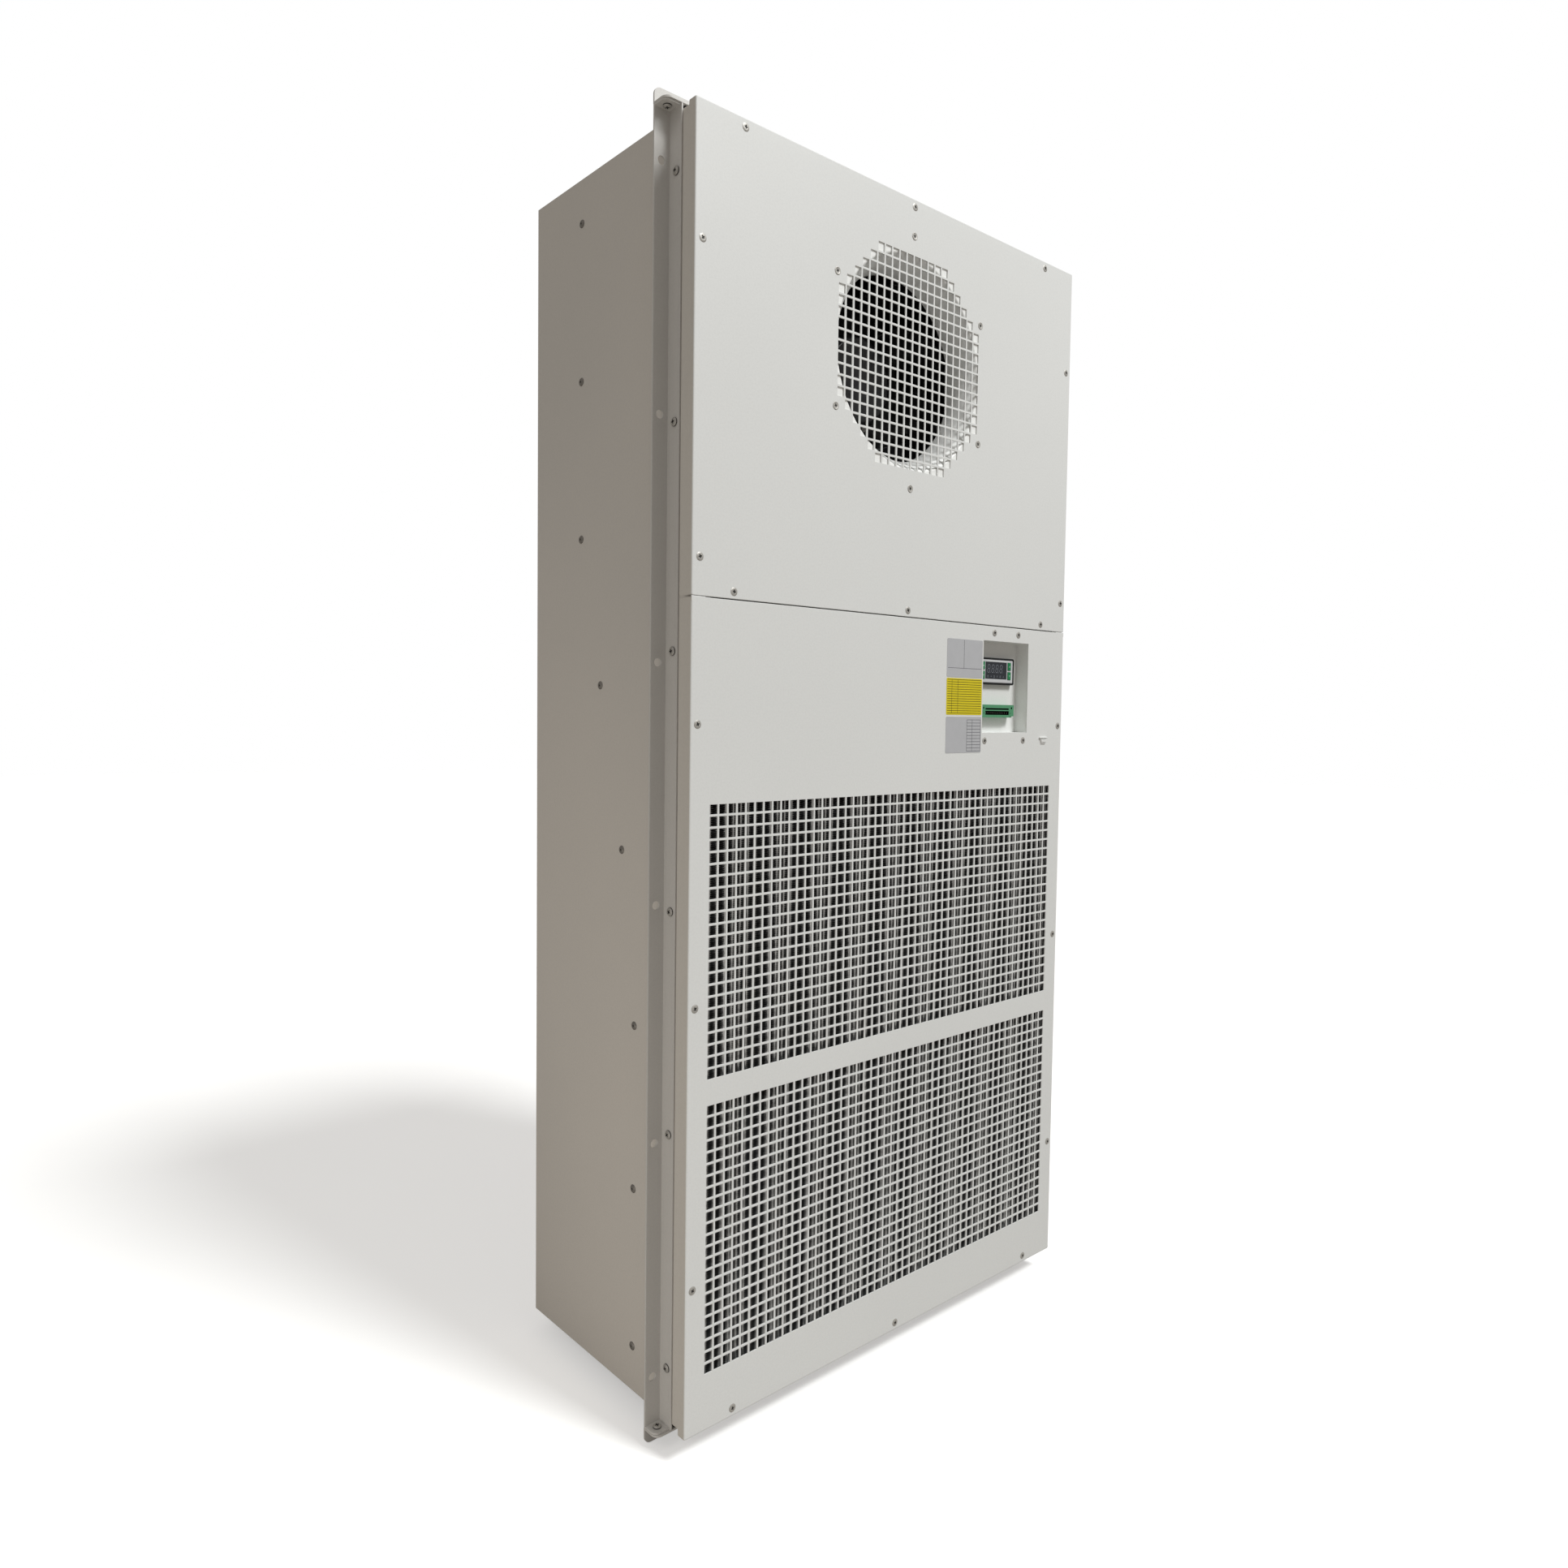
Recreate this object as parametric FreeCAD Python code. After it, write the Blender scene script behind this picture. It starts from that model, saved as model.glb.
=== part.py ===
import FreeCAD, Part
import math
import os

# Enclosure heat exchanger for mounting in a cabinet door or wall: a sheet-metal
# cabinet with a mounting flange all round, two air circuits kept apart by a
# slanted partition, one coil and one radial fan in each circuit, and a control
# recess in the lower front cover.
# Working coordinates below: x to the right, y from the front face of the covers
# to the rear, z up from the bottom edge of the covers, millimetres.
# On export everything is shifted so that the origin is the centre of the flange
# bolt pattern on the rear face of the mounting flange.

V = FreeCAD.Vector

# ---------------------------------------------------------------- dimensions
COVER_W = 650.0          # width of both front covers
COVER_H = 1355.0         # height of the two covers together
SEAM_LOW = 868.9         # top edge of the lower cover between its corner lugs
SEAM_LUG = 869.7         # top edge of the lower cover's corner lugs
LUG_W = 18.0             # width of a corner lug
SEAM_UP = 870.2          # bottom edge of the upper cover
SHEET = 1.5              # cover and cabinet sheet
RETURN = 20.5            # depth of the cover's folded edge
RETURN_END = 11.0        # depth of the folded edge beside the end corners
RETURN_END_H = 12.0

PITCH = 12.5             # grille pitch
HOLE = 10.0              # square grille hole
FIELD_NX, FIELD_NZ = 48, 23
FIELD_Z = (61.0, 374.0)  # lowest hole edge of the two large fields
FAN_N = 20               # holes across the fan field
FAN_Z = 1166.5           # height of the fan axis

BODY_X = 314.0           # half width of the cabinet
BODY_Z0, BODY_Z1 = -5.0, 1360.0
BODY_Y0, BODY_Y1 = 12.0, 325.0

FLANGE_Y0, FLANGE_Y1 = 55.0, 57.0
FLANGE_X = 335.5
FLANGE_Z0, FLANGE_Z1 = -28.5, 1383.5
LEG_Y0 = 35.0            # front edge of the angle legs
LEG_T = 2.0
END_Z0, END_Z1 = -10.5, 1365.5   # inner faces of the end rails' legs
HOLE_X = 326.0           # mounting holes
HOLE_PITCH = 254.0
HOLE_R = 4.5
MID_Z = 0.5 * COVER_H

PART_BENDS = ((216.0, 958.0), (101.5, 492.0))   # partition, front face
PART_FLANGE = 18.0
RIVETS = ((225.0, 1310.0), (225.0, 1132.0), (224.0, 952.0), (182.0, 783.0),
          (137.0, 600.0), (110.5, 408.0), (110.5, 225.0), (110.5, 46.0))

COIL_PITCH = 10.45
COIL_N = 59
TUBE_T = 1.8
COIL_Y0, COIL_Y1 = 6.8, 34.8     # the coil stands close behind the cover
COIL_Z0, COIL_Z1 = 45.0, 680.0
COIL_X = 307.0           # half width over the header ends
HEAD_H = 24.0
HEAD_Y0, HEAD_Y1 = COIL_Y0 - 2.0, COIL_Y1 + 2.0
HEAD_YM = 0.5 * (HEAD_Y0 + HEAD_Y1)

REC_X0, REC_X1, REC_Z0, REC_Z1 = 147.5, 244.0, 732.0, 850.0
REC_Y = 19.2             # front face of the recess back
TRAY_T = 1.2

SCREW_R = 2.5
SCREW_HEAD_R = 4.65
CLEAR_R = 2.7

UPPER_SCREWS = [(-261.0, 1346.0), (0.0, 1346.0), (261.0, 1346.0),
                (-315.0, 1221.0), (315.0, 1221.0), (-315.0, 909.0), (315.0, 909.0),
                (-270.0, 877.5), (0.0, 877.5), (270.0, 877.5)]
LOWER_SCREWS = [(-316.0, 741.0), (316.0, 741.0), (-316.0, 451.0), (316.0, 451.0),
                (-316.0, 156.6), (316.0, 156.6),
                (-260.0, 9.0), (0.0, 9.0), (263.0, 9.0)]
RECESS_SCREWS = [(169.5, 860.5), (220.8, 860.5), (153.0, 721.5), (236.0, 721.5)]
RING_SCREWS = [(146.0 * math.cos(math.radians(a)), 146.0 * math.sin(math.radians(a)))
               for a in (30, 90, 150, 210, 270, 330)]
RAIL_SCREW_Y = 43.0
RAIL_SCREW_Z = (1301.0, 1050.0, 816.0, 544.5, 307.5, 54.0)
CORNER_X, CORNER_Y = 325.5, 46.5

parts = {}


# ---------------------------------------------------------------- helpers
def box(x0, x1, y0, y1, z0, z1):
    return Part.makeBox(x1 - x0, y1 - y0, z1 - z0, V(x0, y0, z0))


def cyl_y(x, z, r, y0, y1):
    return Part.makeCylinder(r, y1 - y0, V(x, y0, z), V(0, 1, 0))


def cyl_x(y, z, r, x0, x1):
    return Part.makeCylinder(r, x1 - x0, V(x0, y, z), V(1, 0, 0))


def cyl_z(x, y, r, z0, z1):
    return Part.makeCylinder(r, z1 - z0, V(x, y, z0), V(0, 0, 1))


def cut(shape, tools):
    return shape.cut(Part.makeCompound(tools)) if tools else shape


def fuse(first, *rest):
    out = first
    for r in rest:
        out = out.fuse(r)
    return out.removeSplitter()


def prism_x(pts, x0, x1):
    w = Part.makePolygon([V(x0, y, z) for y, z in pts] + [V(x0, *pts[0])])
    return Part.Face(w).extrude(V(x1 - x0, 0, 0))


def prism_z(pts, z0, z1):
    w = Part.makePolygon([V(x, y, z0) for x, y in pts] + [V(pts[0][0], pts[0][1], z0)])
    return Part.Face(w).extrude(V(0, 0, z1 - z0))


def prism_y(pts, y0, y1):
    w = Part.makePolygon([V(x, y0, z) for x, z in pts] + [V(pts[0][0], y0, pts[0][1])])
    return Part.Face(w).extrude(V(0, y1 - y0, 0))


def turned_y(profile, x=0.0, z=0.0):
    """Body of revolution about a line along y; the profile is (radius, y)."""
    w = Part.makePolygon([V(x + r, y, z) for r, y in profile] + [V(x + profile[0][0], profile[0][1], z)])
    return Part.Face(w).revolve(V(x, 0, z), V(0, 1, 0), 360)


def turn_half(shape):
    """Half turn about the x-parallel line through the middle of the cabinet."""
    s = shape.copy()
    s.rotate(V(0, 0.5 * BODY_Y1, MID_Z), V(1, 0, 0), 180)
    return s


def mirror_x(shape):
    return shape.mirror(V(0, 0, 0), V(1, 0, 0))


def one(shape):
    return shape.Solids[0] if shape.ShapeType != "Solid" and len(shape.Solids) == 1 else shape


# A perforated field is built from row strips whose edges are shared with the
# sheet around it, so the cover stays one closed solid.
def field_rows(x0, z0, nx, nz, keep=None):
    rows = []
    for k in range(nz):
        holes = []
        for i in range(nx):
            if keep is None or keep(i, k):
                x = x0 + PITCH * i
                z = z0 + PITCH * k
                holes.append((x, x + HOLE, z, z + HOLE))
        rows.append(holes)
    return {"x0": x0, "z0": z0, "x1": x0 + PITCH * (nx - 1) + HOLE,
            "z1": z0 + PITCH * (nz - 1) + HOLE, "rows": rows}


RIM_OUT, RIM_IN = 0.8, 0.4   # plain rim round a field, outside its outermost holes


def field_window(f, y0, y1):
    b = RIM_OUT
    return box(f["x0"] - b, f["x1"] + b, y0, y1, f["z0"] - b, f["z1"] + b)


def perforate(solid, fields, ya, yb):
    """Fill the rectangular windows of the fields with perforated strips.
    ya is the outer plane and yb the inner plane of the sheet."""
    solid = one(solid)
    verts, edges = {}, {}

    def vert(p):
        k = tuple(round(c, 4) for c in p)
        if k not in verts:
            verts[k] = Part.Vertex(V(*k))
        return k, verts[k]

    def edge(a, b):
        ka, va = vert(a)
        kb, vb = vert(b)
        k = (ka, kb) if ka < kb else (kb, ka)
        if k not in edges:
            edges[k] = Part.Edge(va, vb) if ka < kb else Part.Edge(vb, va)
        return edges[k]

    def loop(pts):
        return Part.Wire([edge(a, b) for a, b in zip(pts, pts[1:] + pts[:1])])

    def sheet_face(outer, inners):
        """Planar face with holes; the hole loops must run against the outer loop."""
        area = Part.Face(outer).Area - sum(Part.Face(i).Area for i in inners)
        face = Part.Face([outer] + inners)
        if abs(face.Area - area) > 0.01:
            for i in inners:
                i.reverse()
            face = Part.Face([outer] + inners)
        return face

    def facing(face, n):
        u0, u1, v0, v1 = face.ParameterRange
        if face.normalAt(0.5 * (u0 + u1), 0.5 * (v0 + v1)).dot(n) < 0:
            face.reverse()
        return face

    b, h, bar = RIM_OUT, RIM_IN, 0.5 * (PITCH - HOLE)
    outward = V(0, 1, 0) if ya > yb else V(0, -1, 0)
    drop, faces = [], []
    for f in fields:
        wx0, wx1, wz0, wz1 = f["x0"] - b, f["x1"] + b, f["z0"] - b, f["z1"] + b
        for fc in solid.Faces:
            bb = fc.BoundBox
            if bb.XMin > wx0 - 0.01 and bb.XMax < wx1 + 0.01 and bb.ZMin > wz0 - 0.01 and bb.ZMax < wz1 + 0.01 \
                    and bb.YLength > 0.5 and (bb.XLength < 0.01 or bb.ZLength < 0.01):
                drop.append(fc)
        rx0, rx1 = f["x0"] - h, f["x1"] + h
        zs = [f["z0"] - h] + [f["z0"] - bar + PITCH * k for k in range(1, len(f["rows"]))] + [f["z1"] + h]
        for y, n in ((ya, outward), (yb, outward * -1)):
            rim = None
            for fc in solid.Faces:
                bb = fc.BoundBox
                if bb.YLength > 0.001 or abs(bb.YMin - y) > 0.001:
                    continue
                for w in fc.Wires:
                    wb = w.BoundBox
                    if abs(wb.XMin - wx0) < 0.01 and abs(wb.XMax - wx1) < 0.01 \
                            and abs(wb.ZMin - wz0) < 0.01 and abs(wb.ZMax - wz1) < 0.01:
                        rim = w
            inner = [(rx0, y, z) for z in zs] + [(rx1, y, z) for z in reversed(zs)]
            faces.append(facing(sheet_face(Part.Wire(rim.Edges), [loop(inner)]), n))
            for k, holes in enumerate(f["rows"]):
                outer = loop([(rx0, y, zs[k]), (rx1, y, zs[k]), (rx1, y, zs[k + 1]), (rx0, y, zs[k + 1])])
                inners = [loop([(a, y, c), (a2, y, c), (a2, y, c2), (a, y, c2)]) for a, a2, c, c2 in holes]
                faces.append(facing(sheet_face(outer, inners), n))
        for holes in f["rows"]:
            for a, a2, c, c2 in holes:
                ring = [(a, c), (a2, c), (a2, c2), (a, c2)]
                mid = V(0.5 * (a + a2), 0.5 * (ya + yb), 0.5 * (c + c2))
                for p, q in zip(ring, ring[1:] + ring[:1]):
                    fc = Part.Face(loop([(p[0], ya, p[1]), (q[0], ya, q[1]), (q[0], yb, q[1]), (p[0], yb, p[1])]))
                    faces.append(facing(fc, mid - fc.CenterOfMass))
    kept = [fc for fc in solid.Faces if not any(fc.isSame(d) for d in drop)]
    shell = Part.makeShell(kept + faces)
    out = Part.Solid(shell)
    if out.Volume < 0:
        out.reverse()
    return out


# ---------------------------------------------------------------- front covers
def tray_cover(z0, z1):
    w = 0.5 * COVER_W
    s = box(-w, w, 0, RETURN, z0, z1)
    return s.cut(box(-w + SHEET, w - SHEET, SHEET, RETURN + 1, z0 + SHEET, z1 - SHEET))


def stepped_field(zc):
    """Round field of holes: full rows in the middle, stepped corners above and below."""
    half = 0.5 * (PITCH * (FAN_N - 1) + HOLE)
    out = []
    for k0, nk, i0 in ((0, 5, 1), (5, 10, 0), (15, 5, 1)):
        out.append(field_rows(-half + PITCH * i0, zc - half + PITCH * k0, FAN_N - 2 * i0, nk,
                              lambda i, k, k0=k0, i0=i0: abs(i + i0 - 9.5) + abs(k + k0 - 9.5) <= 14.01))
    return out


fan_fields = stepped_field(FAN_Z)
big_fields = [field_rows(-0.5 * (PITCH * (FIELD_NX - 1) + HOLE), z, FIELD_NX, FIELD_NZ) for z in FIELD_Z]

w = 0.5 * COVER_W
upper = tray_cover(SEAM_UP, COVER_H)
tools = [box(s * 318 - (8 if s < 0 else 0), s * 318 + (8 if s > 0 else 0), RETURN_END, RETURN + 1,
             COVER_H - RETURN_END_H, COVER_H + 1) for s in (-1, 1)]
# the seam fold stops beside the side plates of the front frame
tools += [box(min(s * 298, s * (w - SHEET)), max(s * 298, s * (w - SHEET)), SHEET, RETURN + 1, SEAM_UP - 1, SEAM_UP + SHEET)
          for s in (-1, 1)]
tools += [cyl_y(x, z, CLEAR_R, -1, SHEET + 1) for x, z in UPPER_SCREWS]
tools += [cyl_y(x, FAN_Z + z, CLEAR_R, -1, SHEET + 1) for x, z in RING_SCREWS]
tools += [field_window(f, -1, SHEET + 1) for f in fan_fields]
upper = cut(upper, tools)
parts["upper_cover"] = perforate(upper, fan_fields, 0.0, SHEET)

lower = tray_cover(0.0, SEAM_LOW)
for s in (-1, 1):
    lower = lower.fuse(box(min(s * w, s * (w - LUG_W)), max(s * w, s * (w - LUG_W)), 0, SHEET, SEAM_LOW - SHEET, SEAM_LUG))
lower = lower.removeSplitter()
tools = [box(s * 318 - (8 if s < 0 else 0), s * 318 + (8 if s > 0 else 0), RETURN_END, RETURN + 1,
             -1, RETURN_END_H) for s in (-1, 1)]
tools += [box(min(s * 298, s * (w - SHEET)), max(s * 298, s * (w - SHEET)), SHEET, RETURN + 1, SEAM_LOW - SHEET, SEAM_LOW + 1)
          for s in (-1, 1)]
tools += [cyl_y(x, z, CLEAR_R, -1, SHEET + 1) for x, z in LOWER_SCREWS + RECESS_SCREWS]
tools += [box(REC_X0, REC_X1, -1, SHEET + 1, REC_Z0, REC_Z1)]
tools += [field_window(f, -1, SHEET + 1) for f in big_fields]
# pressed hook beside the recess: a scoop, open at its top edge
HK_X, HK_Z0, HK_Z1, HK_P = 281.4, 714.4, 726.3, 2.2
hk_out = prism_x([(0, HK_Z0), (-HK_P, HK_Z0 + 4.6), (-HK_P, HK_Z1), (0, HK_Z1)], HK_X - 12, HK_X + 12)
hk_plan = prism_y([(HK_X - 4.6, HK_Z0), (HK_X + 4.6, HK_Z0), (HK_X + 9.0, HK_Z1), (HK_X - 9.0, HK_Z1)], -8, 4)
hk_in = prism_x([(3, HK_Z0 + 2.2), (0, HK_Z0 + 2.2), (-HK_P + 1.2, HK_Z0 + 5.4), (-HK_P + 1.2, HK_Z1 + 1), (3, HK_Z1 + 1)],
                HK_X - 12, HK_X + 12)
hk_plan_in = prism_y([(HK_X - 3.3, HK_Z0), (HK_X + 3.3, HK_Z0), (HK_X + 7.7, HK_Z1 + 1), (HK_X - 7.7, HK_Z1 + 1)], -8, 4)
lower = lower.fuse(hk_out.common(hk_plan)).removeSplitter()
tools += [hk_in.common(hk_plan_in).common(box(HK_X - 12, HK_X + 12, -8, 4, HK_Z0, HK_Z1))]
lower = cut(lower, tools)
parts["lower_cover"] = perforate(lower, big_fields, 0.0, SHEET)

# ---------------------------------------------------------------- front frame
FR_Y0, FR_Y1 = SHEET, SHEET + 1.5
frame = box(-322, 322, FR_Y0, FR_Y1, 2, 1353)
frame = frame.cut(box(-300, 300, 0, 5, 20, 873.0)).cut(box(-300, 300, 0, 5, 893, 1335))
bx = BODY_X - SHEET
ring = box(-bx, bx, FR_Y1, 26, 2, 1353).cut(box(-bx + SHEET, bx - SHEET, 0, 30, 2 + SHEET, 1353 - SHEET))
frame = fuse(frame, ring)
frame = cut(frame, [cyl_y(x, z, 2.6, 0, 6) for x, z in UPPER_SCREWS + LOWER_SCREWS])
parts["front_frame"] = frame

# ---------------------------------------------------------------- cabinet
side = box(bx, BODY_X, BODY_Y0, BODY_Y1, BODY_Z0, BODY_Z1)
side = cut(side, [box(bx - 1, BODY_X + 1, BODY_Y0 - 1, RETURN + 1, 1352.5, BODY_Z1 + 1),
                  box(bx - 1, BODY_X + 1, BODY_Y0 - 1, RETURN + 1, BODY_Z0 - 1, 2.5)]
           + [cyl_x(y, z, 2.15, bx - 2, BODY_X + 2) for y, z in RIVETS]
           + [cyl_x(RAIL_SCREW_Y, z, CLEAR_R, bx - 2, BODY_X + 2) for z in RAIL_SCREW_Z])
parts["side_panel_right"] = side
parts["side_panel_left"] = mirror_x(side)
END_Y0 = 22.0            # the end panels start behind the covers' end folds
parts["top_panel"] = fuse(box(-bx, bx, END_Y0, BODY_Y1, BODY_Z1 - SHEET, BODY_Z1),
                          box(-bx, bx, END_Y0, END_Y0 + SHEET, 1353, BODY_Z1 - SHEET))
parts["bottom_panel"] = fuse(box(-bx, bx, END_Y0, BODY_Y1, BODY_Z0, BODY_Z0 + SHEET),
                             box(-bx, bx, END_Y0, END_Y0 + SHEET, BODY_Z0 + SHEET, 2))

rz0, rz1 = BODY_Z0 + SHEET, BODY_Z1 - SHEET
rear = box(-bx, bx, 308, BODY_Y1, rz0, rz1).cut(
    box(-bx + SHEET, bx - SHEET, 300, BODY_Y1 - SHEET, rz0 + SHEET, rz1 - SHEET))
rear_fan_z = 2 * MID_Z - FAN_Z
rear_fields = stepped_field(rear_fan_z)
rear_fields += [field_rows(f["x0"], 2 * MID_Z - f["z1"], FIELD_NX, FIELD_NZ) for f in big_fields]
rear = cut(rear, [cyl_y(x, rear_fan_z + z, CLEAR_R, BODY_Y1 - 3, BODY_Y1 + 1) for x, z in RING_SCREWS]
           + [field_window(f, BODY_Y1 - 3, BODY_Y1 + 1) for f in rear_fields])
parts["rear_panel"] = perforate(rear, rear_fields, BODY_Y1, BODY_Y1 - SHEET)

# ---------------------------------------------------------------- mounting flange
rail = fuse(box(BODY_X, BODY_X + LEG_T, LEG_Y0, FLANGE_Y1, END_Z0, END_Z1),
            box(BODY_X, FLANGE_X, FLANGE_Y0, FLANGE_Y1, END_Z0, END_Z1),
            box(BODY_X, FLANGE_X, 37, FLANGE_Y0, END_Z0, END_Z0 + LEG_T),
            box(BODY_X, FLANGE_X, 37, FLANGE_Y0, END_Z1 - LEG_T, END_Z1))
corner = [e for e in rail.Edges if abs(e.BoundBox.XMin - FLANGE_X) < 0.01 and abs(e.BoundBox.XMax - FLANGE_X) < 0.01
          and abs(e.BoundBox.YMin - 37) < 0.01 and abs(e.BoundBox.YMax - 37) < 0.01]
rail = rail.makeFillet(7.0, corner)
hole_z = [MID_Z + HOLE_PITCH * k for k in (-2.5, -1.5, -0.5, 0.5, 1.5, 2.5)]
rail = cut(rail, [cyl_y(HOLE_X, z, HOLE_R, FLANGE_Y0 - 2, FLANGE_Y1 + 2) for z in hole_z]
           + [cyl_x(RAIL_SCREW_Y, z, CLEAR_R, BODY_X - 2, BODY_X + 6) for z in RAIL_SCREW_Z]
           + [cyl_z(CORNER_X, CORNER_Y, CLEAR_R, END_Z0 - 3, END_Z0 + 5), cyl_z(CORNER_X, CORNER_Y, CLEAR_R, END_Z1 - 5, END_Z1 + 3)])
parts["rail_right"] = rail
parts["rail_left"] = mirror_x(rail)

end = fuse(box(-FLANGE_X, FLANGE_X, LEG_Y0, FLANGE_Y1, END_Z1, END_Z1 + LEG_T),
           box(-FLANGE_X, FLANGE_X, FLANGE_Y0, FLANGE_Y1, END_Z1, FLANGE_Z1))
e1 = [e for e in end.Edges if abs(abs(e.CenterOfMass.x) - FLANGE_X) < 0.01 and abs(e.CenterOfMass.y - LEG_Y0) < 0.01 and e.BoundBox.ZLength > 1]
e2 = [e for e in end.Edges if abs(abs(e.CenterOfMass.x) - FLANGE_X) < 0.01 and abs(e.CenterOfMass.z - FLANGE_Z1) < 0.01]
end = end.makeFillet(8.0, e1 + e2)
end = cut(end, [cyl_z(s * CORNER_X, CORNER_Y, CLEAR_R, END_Z1 - 2, END_Z1 + 5) for s in (-1, 1)])
parts["rail_top"] = end
flip = end.mirror(V(0, 0, MID_Z), V(0, 0, 1))
parts["rail_bottom"] = flip

parts["rail_packing"] = Part.makeCompound([box(-310, 310, 37, 54, BODY_Z1, END_Z1), box(-310, 310, 37, 54, END_Z0, BODY_Z0)])
g = box(-318, 318, FLANGE_Y1, FLANGE_Y1 + 4, -17, 1372).cut(box(-BODY_X, BODY_X, FLANGE_Y1 - 1, FLANGE_Y1 + 6, BODY_Z0, BODY_Z1))
parts["flange_gasket"] = g

# ---------------------------------------------------------------- partition
(pu, zu), (pl, zl) = PART_BENDS
front_line = [(pu, rz1), (pu, zu), (pl, zl), (pl, rz0)]
sheet = prism_x(front_line + [(y + SHEET, z) for y, z in reversed(front_line)], -bx + SHEET, bx - SHEET)
strip = front_line + [(y + PART_FLANGE, z) for y, z in reversed(front_line)]
part = fuse(sheet, prism_x(strip, bx - SHEET, bx), prism_x(strip, -bx, -bx + SHEET))
PIPE_X, PIPE_R = 255.0, 8.0
part = cut(part, [cyl_x(y, z, 2.15, -bx - 2, -bx + 4) for y, z in RIVETS] + [cyl_x(y, z, 2.15, bx - 4, bx + 2) for y, z in RIVETS]
           + [cyl_y(PIPE_X, 33.0, PIPE_R + 1, 90, 120), cyl_y(PIPE_X, 760.0, PIPE_R + 1, 140, 200)])
parts["partition"] = part

# ---------------------------------------------------------------- coils
def coil():
    first = -0.5 * COIL_PITCH * (COIL_N - 1)
    tubes, fins = [], []
    for i in range(COIL_N):
        x = first + COIL_PITCH * i
        tubes.append(box(x - 0.5 * TUBE_T, x + 0.5 * TUBE_T, COIL_Y0, COIL_Y1, COIL_Z0, COIL_Z1))
        fins.append(box(x + 0.5 * TUBE_T, x + 0.5 * TUBE_T + 1.0, COIL_Y0 + 0.5, COIL_Y1 - 0.5, COIL_Z0 + 1, COIL_Z1 - 1))
    fins.append(box(first - 0.5 * TUBE_T - 1.0, first - 0.5 * TUBE_T, COIL_Y0 + 0.5, COIL_Y1 - 0.5, COIL_Z0 + 1, COIL_Z1 - 1))
    xs = COIL_X
    heads = []
    for z0, z1 in ((COIL_Z0 - HEAD_H, COIL_Z0), (COIL_Z1, COIL_Z1 + HEAD_H)):
        h = box(-xs + 2, xs - 2, HEAD_Y0, HEAD_Y1, z0, z1)
        h = h.makeFillet(5.0, [e for e in h.Edges if e.BoundBox.XLength > 100])
        inner = box(-xs, xs, COIL_Y0, COIL_Y1, z0 + 2, z1 - 2)
        h = h.cut(inner)
        heads.append(h)
        for s in (-1, 1):
            c = box(min(s * xs, s * (xs - 2)), max(s * xs, s * (xs - 2)), HEAD_Y0, HEAD_Y1, z0, z1)
            heads.append(c)
    plates = []
    for s in (-1, 1):
        p = fuse(box(xs, xs + SHEET, HEAD_Y0, 59, COIL_Z0 - HEAD_H, COIL_Z1 + HEAD_H),
                 box(xs + SHEET, bx, 59 - SHEET, 59, COIL_Z0 - HEAD_H, COIL_Z1 + HEAD_H),
                 box(bx - SHEET, bx, 59, 75, COIL_Z0 - HEAD_H, COIL_Z1 + HEAD_H))
        plates.append(p if s > 0 else mirror_x(p))
    return (Part.makeCompound(tubes), Part.makeCompound(fins), heads, Part.makeCompound(plates))


tubes, fins, heads, plates = coil()
PORT_R = PIPE_R - 1.0
front_heads = [h.cut(Part.makeCompound([cyl_y(PIPE_X, z, PORT_R, HEAD_Y1 - 3, HEAD_Y1 + 1) for z in (33.0, 692.0)])) for h in heads]
# the rear coil is the front one turned by half a turn, so its ports are cut in
# the turned-back positions
rear_heads = [h.cut(Part.makeCompound([cyl_y(PIPE_X, 33.0, PORT_R, HEAD_Y1 - 3, HEAD_Y1 + 1), cyl_z(PIPE_X, HEAD_YM, PORT_R, 701, 705)]))
              for h in heads]
parts["front_coil_tubes"] = tubes
parts["front_coil_fins"] = fins
parts["front_coil_headers"] = Part.makeCompound(front_heads)
parts["rear_coil_tubes"] = turn_half(tubes)
parts["rear_coil_fins"] = turn_half(fins)
parts["rear_coil_headers"] = turn_half(Part.makeCompound(rear_heads))
parts["coil_side_plates"] = Part.makeCompound(plates.Solids + turn_half(plates).Solids)


# ---------------------------------------------------------------- link pipes and pump
def pipe(pts, bend, x=PIPE_X, r=PIPE_R, wall=1.0):
    """Tube along straight runs in the plane x joined by tangent quarter bends."""
    edges = []
    cur = V(x, *pts[0])
    for i in range(1, len(pts)):
        p = V(x, *pts[i])
        if i == len(pts) - 1:
            edges.append(Part.LineSegment(cur, p).toShape())
            break
        d0 = (p - cur).normalize()
        nxt = V(x, *pts[i + 1])
        d1 = (nxt - p).normalize()
        a = p - d0 * bend
        b = p + d1 * bend
        m = p + (d1 - d0) * bend * (1 - math.sqrt(0.5))
        edges.append(Part.LineSegment(cur, a).toShape())
        edges.append(Part.Arc(a, m, b).toShape())
        cur = b
    path = Part.Wire(edges)
    start = V(x, *pts[0])
    d = (V(x, *pts[1]) - start).normalize()
    solids = []
    for rad in (r, r - wall):
        prof = Part.Wire(Part.makeCircle(rad, start, d))
        solids.append(path.makePipeShell([prof], True, False))
    return solids[0].cut(solids[1])


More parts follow.
